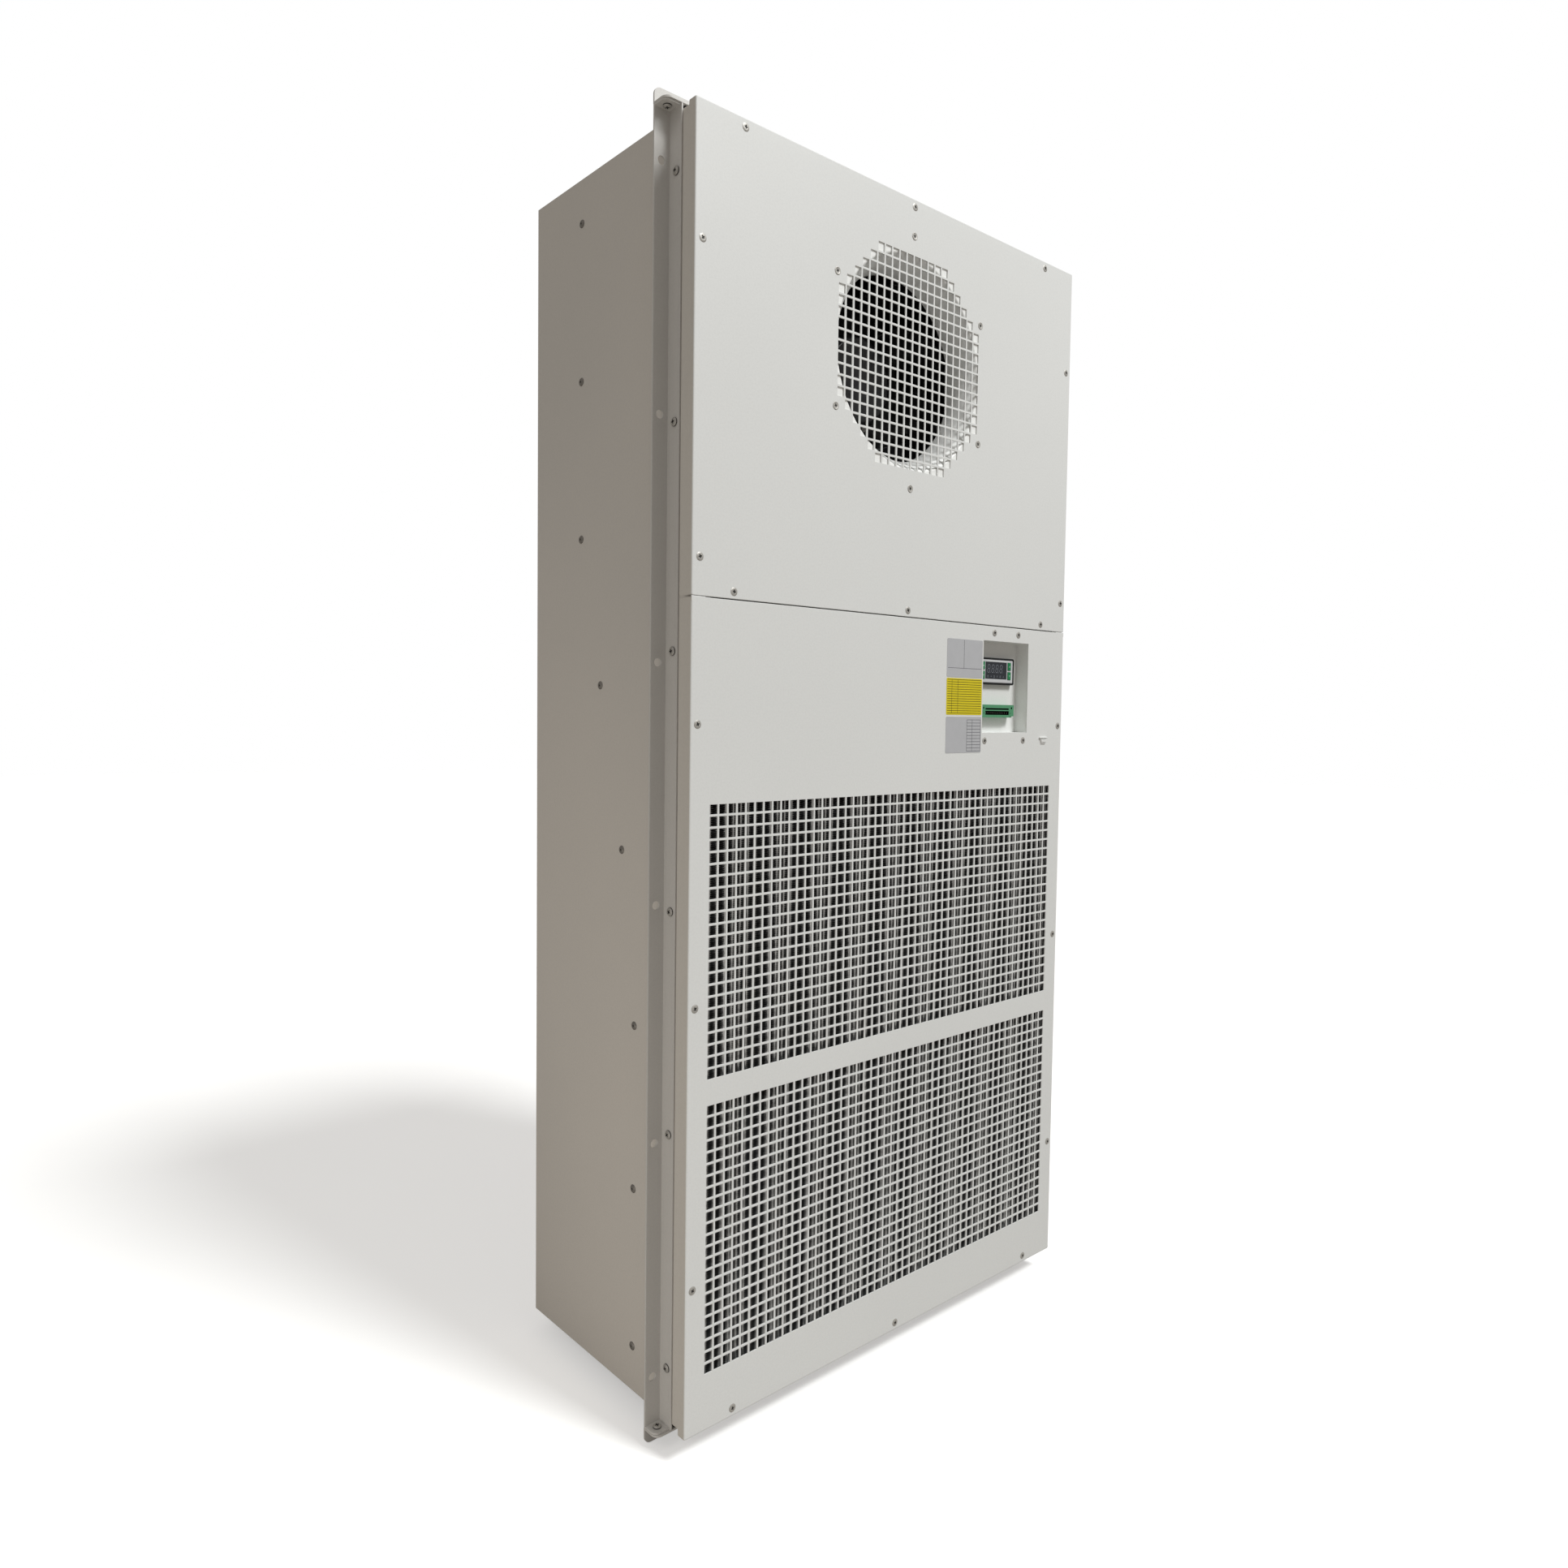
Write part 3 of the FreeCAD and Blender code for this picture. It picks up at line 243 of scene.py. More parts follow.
M_LABEL = plastic("label_grey", (0.49, 0.495, 0.515), rough=(0.36, 0.5), vary=0.02, grain=2600.0, strength=0.04)
M_YELLOW = plastic("label_yellow", (0.72, 0.60, 0.012), rough=(0.36, 0.5), vary=0.025, grain=2600.0, strength=0.04)
M_RULE = plastic("rule_grey", (0.085, 0.085, 0.10), rough=(0.45, 0.6), vary=0.15, strength=0.03)
M_RULE_Y = plastic("rule_olive", (0.085, 0.066, 0.004), rough=(0.45, 0.6), vary=0.15, strength=0.03)


# ------------------------------------------------------------------ mesh helpers
class Builder:
    """Collects faces in working millimetres and turns them into one piece."""

    def __init__(self):
        self.v, self.f, self.m = [], [], []

    def add(self, pts, faces, mat=0):
        o = len(self.v)
        self.v.extend(P(*p) for p in pts)
        for f in faces:
            g = []
            for i in f:
                if not g or g[-1] != o + i:
                    g.append(o + i)
            if len(g) > 1 and g[0] == g[-1]:
                g.pop()
            if len(g) > 2:
                self.f.append(tuple(g))
                self.m.append(mat)

    def add_bm(self, bm, matrix=None, mat=0):
        """A bmesh in working millimetres; its own material numbers are added to mat."""
        bm.verts.index_update()
        pts = [tuple(matrix @ v.co) if matrix is not None else tuple(v.co) for v in bm.verts]
        o = len(self.v)
        self.v.extend(P(*p) for p in pts)
        for f in bm.faces:
            self.f.append(tuple(o + v.index for v in f.verts))
            self.m.append(mat + f.material_index)

    def make(self, name, mats, body="cabinet", slot=None, replaces=(), sharp=38.0, weighted=True, clean=True, normals=True):
        me = bpy.data.meshes.new(name)
        me.from_pydata(self.v, [], self.f)
        for m in mats:
            me.materials.append(m)
        me.polygons.foreach_set("material_index", self.m)
        bm = bmesh.new()
        bm.from_mesh(me)
        if clean:
            bmesh.ops.remove_doubles(bm, verts=bm.verts, dist=1.5e-6)
        loose = [v for v in bm.verts if not v.link_faces]
        if loose:
            bmesh.ops.delete(bm, geom=loose, context="VERTS")
        if normals:
            bmesh.ops.recalc_face_normals(bm, faces=bm.faces)
        lim = math.radians(sharp)
        for f in bm.faces:
            f.smooth = True
        for e in bm.edges:
            e.smooth = len(e.link_faces) == 2 and e.calc_face_angle(0.0) < lim
        bm.to_mesh(me)
        bm.free()
        ob = bpy.data.objects.new(name, me)
        bpy.context.scene.collection.objects.link(ob)
        if weighted:
            w = ob.modifiers.new("weighted", "WEIGHTED_NORMAL")
            w.keep_sharp = True
        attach(ob, body)
        if replaces:
            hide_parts(*replaces)
        return ob


def rbox(x0, x1, y0, y1, z0, z1, r=0.5, seg=2, edges=None):
    """Rounded box as a bmesh. edges picks the rounded edges from their middle point."""
    bm = bmesh.new()
    bmesh.ops.create_cube(bm, size=1.0)
    for v in bm.verts:
        v.co = Vector((x0 + (v.co.x + 0.5) * (x1 - x0), y0 + (v.co.y + 0.5) * (y1 - y0), z0 + (v.co.z + 0.5) * (z1 - z0)))
    es = [e for e in bm.edges if edges is None or edges((e.verts[0].co + e.verts[1].co) * 0.5)]
    bmesh.ops.bevel(bm, geom=es, offset=r, offset_type="OFFSET", segments=seg, profile=0.5, affect="EDGES", clamp_overlap=True)
    return bm


def arc(r, n):
    return [(r * (1 - math.sin(0.5 * math.pi * i / n)), r * (1 - math.cos(0.5 * math.pi * i / n))) for i in range(n + 1)]


def lines(vals):
    out = []
    for v in sorted(vals):
        if not out or v - out[-1] > 0.02:
            out.append(v)
    return out


def sheet_tray(b, x0, x1, z0, z1, y0, sg, t, R, holes, depth, r=0.45, xs=(), zs=(), mat=0, nr=2, nR=4, nh=2, crisp=0, tight=0.5):
    """Folded sheet tray with punched holes, one closed mesh. The outer face is y0, the folds run to sg.
    depth(x, z) gives the depth of the fold at a point of the outline; r rounds the hole edges, R the folds.
    crisp = 1 or -1 gives the top or the bottom edge the smaller outer radius tight."""
    ax0, ax1, az0, az1 = x0 + R, x1 - R, z0 + R, z1 - R
    X = lines([ax0, ax1] + [h[0] - r for h in holes] + [h[1] + r for h in holes] + list(xs))
    Z = lines([az0, az1] + [h[2] - r for h in holes] + [h[3] + r for h in holes] + list(zs))
    nx, nz = len(X), len(Z)

    def at(L, v):
        lo, hi = 0, len(L) - 1
        while lo < hi:
            mid = (lo + hi) // 2
            if L[mid] < v - 0.015:
                lo = mid + 1
            else:
                hi = mid
        return lo

    pts, faces = [], []
    for y in (y0, y0 + sg * t):
        for k in range(nz):
            for i in range(nx):
                pts.append((X[i], y, Z[k]))

    def F(i, k):
        return k * nx + i

    def B(i, k):
        return nx * nz + k * nx + i

    empty = set()
    spans = []
    for hx0, hx1, hz0, hz1 in holes:
        i0, i1, k0, k1 = at(X, hx0 - r), at(X, hx1 + r), at(Z, hz0 - r), at(Z, hz1 + r)
        spans.append((i0, i1, k0, k1, hx0, hx1, hz0, hz1))
        for i in range(i0, i1):
            for k in range(k0, k1):
                empty.add((i, k))
    for i in range(nx - 1):
        for k in range(nz - 1):
            if (i, k) not in empty:
                faces.append((F(i, k), F(i + 1, k), F(i + 1, k + 1), F(i, k + 1)))
                faces.append((B(i, k), B(i, k + 1), B(i + 1, k + 1), B(i + 1, k)))
    prof = arc(r, nr)[1:] + [(o, t - d) for o, d in reversed(arc(r, nr)[1:])]
    for i0, i1, k0, k1, hx0, hx1, hz0, hz1 in spans:
        loop = [(i, k0) for i in range(i0, i1)] + [(i1, k) for k in range(k0, k1)] \
            + [(i, k1) for i in range(i1, i0, -1)] + [(i0, k) for k in range(k1, k0, -1)]
        rings = [[F(i, k) for i, k in loop]]
        for o, d in prof:
            ring = []
            for i, k in loop:
                bx, bz = X[i], Z[k]
                cx, cz = min(max(bx, hx0), hx1), min(max(bz, hz0), hz1)
                ring.append(len(pts))
                pts.append((cx + (bx - cx) * o / r, y0 + sg * d, cz + (bz - cz) * o / r))
            rings.append(ring)
        rings.append([B(i, k) for i, k in loop])
        n = len(loop)
        for a, c in zip(rings, rings[1:]):
            for j in range(n):
                q = (j + 1) % n
                faces.append((a[j], c[j], c[q], a[q]))
    # outline: base point on the sheet, direction outwards
    path = [(i, 0, 0.0, -1.0) for i in range(nx)]
    path += [(nx - 1, 0, math.cos(a), math.sin(a)) for a in (math.radians(-90 + 90 * j / nh) for j in range(1, nh))]
    path += [(nx - 1, k, 1.0, 0.0) for k in range(nz)]
    path += [(nx - 1, nz - 1, math.cos(a), math.sin(a)) for a in (math.radians(90 * j / nh) for j in range(1, nh))]
    path += [(i, nz - 1, 0.0, 1.0) for i in range(nx - 1, -1, -1)]
    path += [(0, nz - 1, math.cos(a), math.sin(a)) for a in (math.radians(90 + 90 * j / nh) for j in range(1, nh))]
    path += [(0, k, -1.0, 0.0) for k in range(nz - 1, -1, -1)]
    path += [(0, 0, math.cos(a), math.sin(a)) for a in (math.radians(180 + 90 * j / nh) for j in range(1, nh))]
    n = len(path)
    e = 0.3

    def outer(j):
        i, k, ux, uz = path[j]
        return X[i] + R * ux, Z[k] + R * uz

    D = []
    for j in range(n):
        (xa, za), (xb, zb) = outer(j), outer((j + 1) % n)
        D.append(depth(0.5 * (xa + xb), 0.5 * (za + zb)))

    def put(j, o, d):
        i, k, ux, uz = path[j]
        pts.append((X[i] + (R - o) * ux, y0 + sg * d, Z[k] + (R - o) * uz))
        return len(pts) - 1

    front, back, ends = [], [], []
    inner_arc = [(t + (R - t) * (1 - math.cos(0.5 * math.pi * q / 2)), R - (R - t) * math.sin(0.5 * math.pi * q / 2)) for q in range(3)]
    for j in range(n):
        i, k, ux, uz = path[j]
        rr = R - (R - tight) * max(0.0, crisp * uz) ** 2
        bend = arc(R, nR + 1)[1:] if R - rr < 1e-6 else arc(rr, nR)
        front.append([F(i, k)] + [put(j, o, d) for o, d in bend])
        back.append([B(i, k)] + [put(j, o, d) for o, d in reversed(inner_arc[:-1])])
        ends.append({})
        for dd in sorted({D[j], D[j - 1]}):
            ends[j][dd] = [put(j, 0, dd - e), put(j, e, dd), put(j, t - e, dd), put(j, t, dd - e)]
    for j in range(n):
        q = (j + 1) % n
        a, c = front[j], front[q]
        for s in range(len(a) - 1):
            faces.append((a[s], a[s + 1], c[s + 1], c[s]))
        dd = D[j]
        ea, ec = ends[j][dd], ends[q][dd]
        low_a = [v[0] for w, v in sorted(ends[j].items()) if w < dd]
        low_c = [v[0] for w, v in sorted(ends[q].items()) if w < dd]
        faces.append(tuple([a[-1]] + low_a + [ea[0], ec[0]] + low_c[::-1] + [c[-1]]))
        for s in range(3):
            faces.append((ea[s], ea[s + 1], ec[s + 1], ec[s]))
        ba, bc = back[j], back[q]
        low_a = [v[3] for w, v in sorted(ends[j].items()) if w < dd]
        low_c = [v[3] for w, v in sorted(ends[q].items()) if w < dd]
        faces.append(tuple([ea[3]] + low_a[::-1] + [ba[-1], bc[-1]] + low_c + [ec[3]]))
        for s in range(len(ba) - 1):
            faces.append((ba[s + 1], ba[s], bc[s], bc[s + 1]))
        if len(ends[j]) == 2:
            (w0, lo), (w1, hi) = sorted(ends[j].items())
            faces.append(tuple(hi + lo[::-1]))
    b.add(pts, faces, mat)


def lathe(b, prof, origin, axis, n=48, mat=0, closed=True, phase=0.0):
    """Body of revolution; the profile is (radius, distance along axis)."""
    w = Vector(axis).normalized()
    u = w.orthogonal().normalized()
    v = w.cross(u)
    o = Vector(origin)
    pts, idx = [], []
    for r, d in prof:
        if r < 1e-9:
            idx.append([len(pts)] * n)
            pts.append(tuple(o + w * d))
        else:
            row = []
            for k in range(n):
                a = 2 * math.pi * k / n + phase
                row.append(len(pts))
                pts.append(tuple(o + w * d + (u * math.cos(a) + v * math.sin(a)) * r))
            idx.append(row)
    faces = []
    pairs = list(zip(idx, idx[1:])) + ([(idx[-1], idx[0])] if closed else [])
    for a, c in pairs:
        for k in range(n):
            q = (k + 1) % n
            faces.append((a[k], c[k], c[q], a[q]))
    b.add(pts, faces, mat)


# ------------------------------------------------------------------ screws and rivets
def screw_bm(rim, height, side, cross=2.3, arm=0.55, deep=1.25, n=40, flat=None, dish=0.0):
    """Screw head with a cross recess, axis +z out of the seat at z = 0. Material 1 is the recess and the rim.
    dish sinks the middle of a flat head below its raised edge."""
    bm = bmesh.new()
    flat = flat or rim * 0.62
    prof = [(rim, -0.05, 1), (rim, side, 1)]
    if dish:
        prof += [(rim - 0.10, height - 0.12, 0), (rim - 0.30, height, 0), (rim - 0.75, height - 0.03, 0), (rim - 1.1, height - 0.18 * dish, 0),
                 (0.5 * (rim + flat) - 0.5, height - 0.62 * dish, 0), (flat, height - dish, 0)]
        height -= dish
    else:
        steps = 5
        for s in range(1, steps + 1):
            a = s / steps
            rr = rim - (rim - flat) * a
            rings_h = side + (height - side) * math.sin(0.5 * math.pi * a)
            prof.append((rr, rings_h, 0))
    last = None
    for r, h, mi in prof:
        ring = [bm.verts.new((r * math.cos(2 * math.pi * k / n), r * math.sin(2 * math.pi * k / n), h)) for k in range(n)]
        if last is not None:
            for k in range(n):
                f = bm.faces.new((last[k], last[(k + 1) % n], ring[(k + 1) % n], ring[k]))
                f.material_index = 1 if mi else 0
        else:
            base = bm.faces.new(list(reversed(ring)))
            base.material_index = 1
        last = ring
    a, c = arm, cross
    plan = [(c, -a), (c, a), (a * 1.25, a * 1.25), (a, c), (-a, c), (-a * 1.25, a * 1.25), (-c, a), (-c, -a),
            (-a * 1.25, -a * 1.25), (-a, -c), (a, -c), (a * 1.25, -a * 1.25)]
    top = [bm.verts.new((x, y, height)) for x, y in plan]
    low = [bm.verts.new((x * 0.62, y * 0.72, height - deep)) for x, y in plan]
    m = len(plan)
    # ring between the flat's edge and the recess: each recess point owns the rim points nearest in angle
    ang = [math.atan2(v.co.y, v.co.x) % (2 * math.pi) for v in top]
    order = sorted(range(m), key=lambda i: ang[i])
    k = 0
    tl = [top[i] for i in order]
    ta = [ang[i] for i in order]
    fa = [2 * math.pi * i / n for i in range(n)]
    i = j = 0
    while i < m or j < n:
        na = ta[(i + 1) % m] + (2 * math.pi if i + 1 >= m else 0)
        nb = fa[(j + 1) % n] + (2 * math.pi if j + 1 >= n else 0)
        if i < m and (j >= n or na <= nb):
            bm.faces.new((tl[i % m], last[j % n], tl[(i + 1) % m]))
            i += 1
        else:
            bm.faces.new((tl[i % m], last[j % n], last[(j + 1) % n]))
            j += 1
    for q in range(m):
        f = bm.faces.new((top[q], top[(q + 1) % m], low[(q + 1) % m], low[q]))
        f.material_index = 1
    f = bm.faces.new(low)
    f.material_index = 1
    bmesh.ops.recalc_face_normals(bm, faces=bm.faces)
    return bm


def placed(origin, out, spin):
    """Matrix that puts local +z along out at origin, turned by spin."""
    w = Vector(out).normalized()
    u = w.orthogonal().normalized()
    v = w.cross(u)
    rot = Matrix((u, v, w)).transposed().to_4x4()
    return Matrix.Translation(Vector(origin)) @ rot @ Matrix.Rotation(spin, 4, "Z")


HEAD = screw_bm(4.55, 0.66, 0.08, cross=2.1, arm=0.62, flat=2.6, deep=0.60)
DISHED = screw_bm(4.4, 0.62, 0.12, cross=1.9, arm=0.62, flat=2.6, dish=0.28, deep=0.30)
PAN = screw_bm(4.6, 2.4, 1.1, flat=2.9)
FAN_Z, REAR_FAN_Z = 1166.5, 188.5
UPPER_SCREWS = [(-261.0, 1346.0), (0.0, 1346.0), (261.0, 1346.0), (-315.0, 1221.0), (315.0, 1221.0), (-315.0, 909.0),
                (315.0, 909.0), (-270.0, 877.5), (0.0, 877.5), (270.0, 877.5)]
LOWER_SCREWS = [(-316.0, 741.0), (316.0, 741.0), (-316.0, 451.0), (316.0, 451.0), (-316.0, 156.6), (316.0, 156.6),
                (-260.0, 9.0), (0.0, 9.0), (263.0, 9.0)]
RECESS_SCREWS = [(169.5, 860.5), (220.8, 860.5), (153.0, 721.5), (236.0, 721.5)]
RING_SCREWS = [(146.0 * math.cos(math.radians(a)), 146.0 * math.sin(math.radians(a))) for a in (30, 90, 150, 210, 270, 330)]


def spin():
    return rng.uniform(0, math.pi / 2)


def shank(b, origin, out, r, length):
    lathe(b, [(0.0, -length), (r * 0.7, -length), (r, -length + 0.8), (r, -0.05)], origin, out, n=20, mat=1, closed=False)


b = Builder()
for x, z in UPPER_SCREWS + LOWER_SCREWS + RECESS_SCREWS:
    b.add_bm(HEAD, placed((x, 0.0, z), (0, -1, 0), spin()))
    shank(b, (x, 0.0, z), (0, -1, 0), 2.4, 8.0)
b.make("cover_screw_heads", [M_SCREW, M_SCREW_DARK], slot="zinc_screw", replaces=["cover_screws"])
b = Builder()
for x, z in RING_SCREWS:
    for o, out in (((x, 0.0, FAN_Z + z), (0, -1, 0)), ((x, 325.0, REAR_FAN_Z + z), (0, 1, 0))):
        b.add_bm(DISHED, placed(o, out, spin()))
        shank(b, o, out, 2.4, 7.0)
b.make("ring_screw_heads", [M_SCREW, M_SCREW_DARK], slot="zinc_screw", replaces=["fan_ring_screws"])
b = Builder()
for s in (-1, 1):
    for z in (1301.0, 1050.0, 816.0, 544.5, 307.5, 54.0):
        b.add_bm(PAN, placed((s * 316.0, 43.0, z), (s, 0, 0), spin()))
        shank(b, (s * 316.0, 43.0, z), (s, 0, 0), 2.4, 6.5)
b.make("rail_screw_heads", [M_SCREW, M_SCREW_DARK], slot="zinc_screw", replaces=["rail_screws"])
b = Builder()
for s in (-1, 1):
    for z, d in ((-8.5, 1), (1363.5, -1)):
        b.add_bm(PAN, placed((s * 325.5, 46.5, z), (0, 0, d), spin()))
        shank(b, (s * 325.5, 46.5, z), (0, 0, d), 2.4, 9.5)
b.make("corner_screw_heads", [M_SCREW, M_SCREW_DARK], slot="zinc_screw", replaces=["corner_screws"])
b = Builder()
RIVETS = ((225.0, 1310.0), (225.0, 1132.0), (224.0, 952.0), (182.0, 783.0), (137.0, 600.0), (110.5, 408.0), (110.5, 225.0), (110.5, 46.0))
for s in (-1, 1):
    for y, z in RIVETS:
        prof = [(0.0, 0.35), (1.15, 0.35), (1.25, 1.5), (1.5, 1.68), (2.7, 1.5), (4.0, 0.95), (4.6, 0.35), (4.6, -0.05), (1.9, -0.05), (1.9, -5.4), (0.0, -5.4)]
        lathe(b, prof[1:7], (s * 314.0, y, z), (s, 0, 0), n=28, mat=0, closed=False)
        lathe(b, prof[:2], (s * 314.0, y, z), (s, 0, 0), n=28, mat=1, closed=False)
        lathe(b, prof[6:], (s * 314.0, y, z), (s, 0, 0), n=28, mat=1, closed=False)
b.make("rivet_heads", [M_RIVET, M_SCREW_DARK], slot="zinc_screw", replaces=["side_rivets"])

# ------------------------------------------------------------------ covers and rear panel
PITCH, HOLE = 12.5, 10.0


def field(x0, z0, nx, nz, keep=None):
    return [(x0 + PITCH * i, x0 + PITCH * i + HOLE, z0 + PITCH * k, z0 + PITCH * k + HOLE)
            for k in range(nz) for i in range(nx) if keep is None or keep(i, k)]


def round_field(zc):
    half = 0.5 * (PITCH * 19 + HOLE)
    return field(-half, zc - half, 20, 20, lambda i, k: abs(i - 9.5) + abs(k - 9.5) <= 14.01)


BIG = [field(-298.75, z, 48, 23) for z in (61.0, 374.0)]
SEAM_UP, SEAM_LOW, SEAM_LUG = 870.2, 868.9, 869.7


def upper_depth(x, z):
    if z > 1343.0 and abs(x) > 318.0:
        return 11.0
    if z < SEAM_UP + 0.5 and abs(x) > 298.0:
        return 2.9
    return 20.5


def lower_depth(x, z):
    if z < 12.0 and abs(x) > 318.0:
        return 11.0
    if z > SEAM_LOW - 0.5 and abs(x) > 298.0:
        return 2.9
    return 20.5


b = Builder()
sheet_tray(b, -325, 325, SEAM_UP, 1355, 0.0, 1, 1.5, 1.6, round_field(FAN_Z), upper_depth,
           xs=(-318, -298, 298, 318), zs=(1343,), crisp=-1)
def shade_returns(ob):
    """The folded side returns get a slightly darker, warmer tone than the front face: painted shade and warm ambient
    light on the side-facing folds.
    """
    for f in ob.data.polygons:
        if abs(f.normal.x) > 0.9 and abs(f.center.x) > 0.3246:
            f.material_index = 1


shade_returns(b.make("upper_cover_sheet", [M_COVER, M_RETURN_SHADE], slot="cover_paint", replaces=["upper_cover"], clean=False))

b = Builder()
sheet_tray(b, -325, 325, 0.0, SEAM_LOW, 0.0, 1, 1.5, 1.6, BIG[0] + BIG[1] + [(147.5, 244.0, 732.0, 850.0)], lower_depth,
           xs=(-318, -298, 298, 318), zs=(12,), crisp=1)
for s in (-1, 1):
    b.add_bm(rbox(min(s * 325, s * 307), max(s * 325, s * 307), 0.02, 1.48, 864.0, SEAM_LUG, 0.6, 3))
# pressed hook: a scoop that opens at its top edge
HX, HZ0, HZ1, HP = 281.4, 714.4, 726.3, 2.2


def hook_bm():
    bm = bmesh.new()

    def half(z):
        return 4.6 + 4.4 * (z - HZ0) / (HZ1 - HZ0)

    # pressed body: a wide foot on the sheet, a smaller flat plateau in front, sloping flanks and a groove below the lip
    foot = [(-half(HZ0), HZ0), (half(HZ0), HZ0), (half(HZ1 - 2.9), HZ1 - 2.9), (-half(HZ1 - 2.9), HZ1 - 2.9)]
    flat = [(-4.5, HZ0 + 4.7), (4.5, HZ0 + 4.7), (6.0, HZ1 - 3.7), (-6.0, HZ1 - 3.7)]
    a = [bm.verts.new((HX + x, 0.3, z)) for x, z in foot]
    c = [bm.verts.new((HX + x, -HP + 0.1, z)) for x, z in flat]
    bm.faces.new(a[::-1])
    bm.faces.new(c)
    for q in range(4):
        w = (q + 1) % 4
        bm.faces.new((a[q], a[w], c[w], c[q]))
    bmesh.ops.recalc_face_normals(bm, faces=bm.faces)
    es = [e for e in bm.edges if min(v.co.y for v in e.verts) < -1.0]
    bmesh.ops.bevel(bm, geom=es, offset=0.3, offset_type="OFFSET", segments=3, profile=0.5, affect="EDGES", clamp_overlap=True)
    return bm


b.add_bm(hook_bm())
# rolled lip along the open top edge
b.add_bm(rbox(HX - 9.0, HX + 9.0, -HP, 0.3, HZ1 - 2.5, HZ1 - 0.4, 0.75, 4, edges=lambda c: c.y < 0.0))
shade_returns(b.make("lower_cover_sheet", [M_COVER, M_RETURN_SHADE], slot="cover_paint", replaces=["lower_cover"], clean=False))
b = Builder()
sheet_tray(b, -312.5, 312.5, -3.5, 1358.5, 325.0, -1, 1.5, 2.0,
           round_field(REAR_FAN_Z) + field(-298.75, 1355 - 61.0 - 285, 48, 23) + field(-298.75, 1355 - 374.0 - 285, 48, 23),
           lambda x, z: 17.0)
b.make("rear_panel_sheet", [M_BODY_SHADED], slot="cabinet_paint", replaces=["rear_panel"], clean=False)


# ------------------------------------------------------------------ coils
def coil_meshes():
    first, pitch, count, half = -303.05, 10.45, 59, 0.9
    tubes = Builder()
    y0, y1, z0, z1 = 6.8, 34.8, 45.0, 680.0
    prof = []
    for q in range(7):
        a = math.pi * q / 6
        prof.append((half * math.cos(a), y0 + half - half * math.sin(a)))
    for q in range(7):
        a = math.pi * q / 6
        prof.append((-half * math.cos(a), y1 - half + half * math.sin(a)))
    n = len(prof)
    for i in range(count):
        x = first + pitch * i
        pts = [(x + u, y, z) for z in (z0, z1) for u, y in prof]
        faces = [(k, (k + 1) % n, n + (k + 1) % n, n + k) for k in range(n)] + [tuple(range(n - 1, -1, -1)), tuple(range(n, 2 * n))]
        tubes.add(pts, faces)
    fins = Builder()
    period, h = 2.2, 0.085
    turns = int((z1 - z0 - 4) / period * 2)
    gaps = [(first + pitch * i + half, first + pitch * (i + 1) - half) for i in range(count - 1)]
    gaps += [(-306.8, first - half), (first + pitch * (count - 1) + half, 306.8)]
    ya, yb = 7.5, 34.1
    for g, (xa, xb) in enumerate(gaps):
        pts, faces = [], []
        off = rng.uniform(0, period)
        for j in range(turns + 1):
            x = xa if j % 2 == 0 else xb
            z = z0 + 1.6 + off * 0.5 + 0.5 * period * j
            pts += [(x, ya, z - h), (x, ya, z + h), (x, yb, z - h), (x, yb, z + h)]
        for j in range(turns):
            a, c = 4 * j, 4 * j + 4
            faces += [(a, c, c + 1, a + 1), (a + 1, c + 1, c + 3, a + 3), (a + 3, c + 3, c + 2, a + 2), (a + 2, c + 2, c, a)]
        c = 4 * turns
        faces += [(0, 1, 3, 2), (c, c + 2, c + 3, c + 1)]
        fins.add(pts, faces)
    return tubes, fins


tubes, fins = coil_meshes()
t_front = tubes.make("front_coil_tube_set", [M_TUBE], slot="coil_aluminium", replaces=["front_coil_tubes"], clean=False, normals=True)
f_front = fins.make("front_coil_fin_set", [M_FIN], slot="coil_aluminium", replaces=["front_coil_fins"], clean=False, weighted=False, sharp=20)
# the rear coil is the same set turned by half a turn about the middle of the cabinet
HALF = Matrix.Translation(Vector(P(0, 162.5, 677.5))) @ Matrix.Rotation(math.pi, 4, "X") @ Matrix.Translation(-Vector(P(0, 162.5, 677.5)))
for src, name, node in ((t_front, "rear_coil_tube_set", "rear_coil_tubes"), (f_front, "rear_coil_fin_set", "rear_coil_fins")):
    me = src.data.copy()
    me.name = name
    me.transform(HALF)
    ob = bpy.data.objects.new(name, me)
    bpy.context.scene.collection.objects.link(ob)
    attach(ob, "cabinet")
    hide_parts(node)

# ------------------------------------------------------------------ fans
def ring_set(zc, y0, sg):
    b = Builder()
    prof = [(156.0, 1.55), (156.0, 2.7), (127.2, 2.7), (124.6, 4.2)]
    for q in range(1, 9):
        t = q / 8.0
        prof.append((124.6 - 14.8 * math.sin(0.5 * math.pi * t), 4.2 + 27.8 * t ** 1.25))
    prof += [(109.8, 36.0), (108.6, 36.0), (108.6, 31.8)]
    for q in range(7, -1, -1):
        t = q / 8.0
        prof.append((123.4 - 14.8 * math.sin(0.5 * math.pi * t), 3.6 + 28.2 * t ** 1.25 if q else 2.6))
    prof += [(124.6, 1.7), (126.0, 1.55)]
    lathe(b, [(r, d) for r, d in prof], (0, y0, zc), (0, sg, 0), n=128)
    return b


ring_set(FAN_Z, 0.0, 1).make("front_inlet_bell", [M_BELL_LIT], slot="cover_paint", replaces=["front_inlet_ring"], sharp=50)
ring_set(REAR_FAN_Z, 325.0, -1).make("rear_inlet_bell", [M_BELL_LIT], slot="cover_paint", replaces=["rear_inlet_ring"], sharp=50)

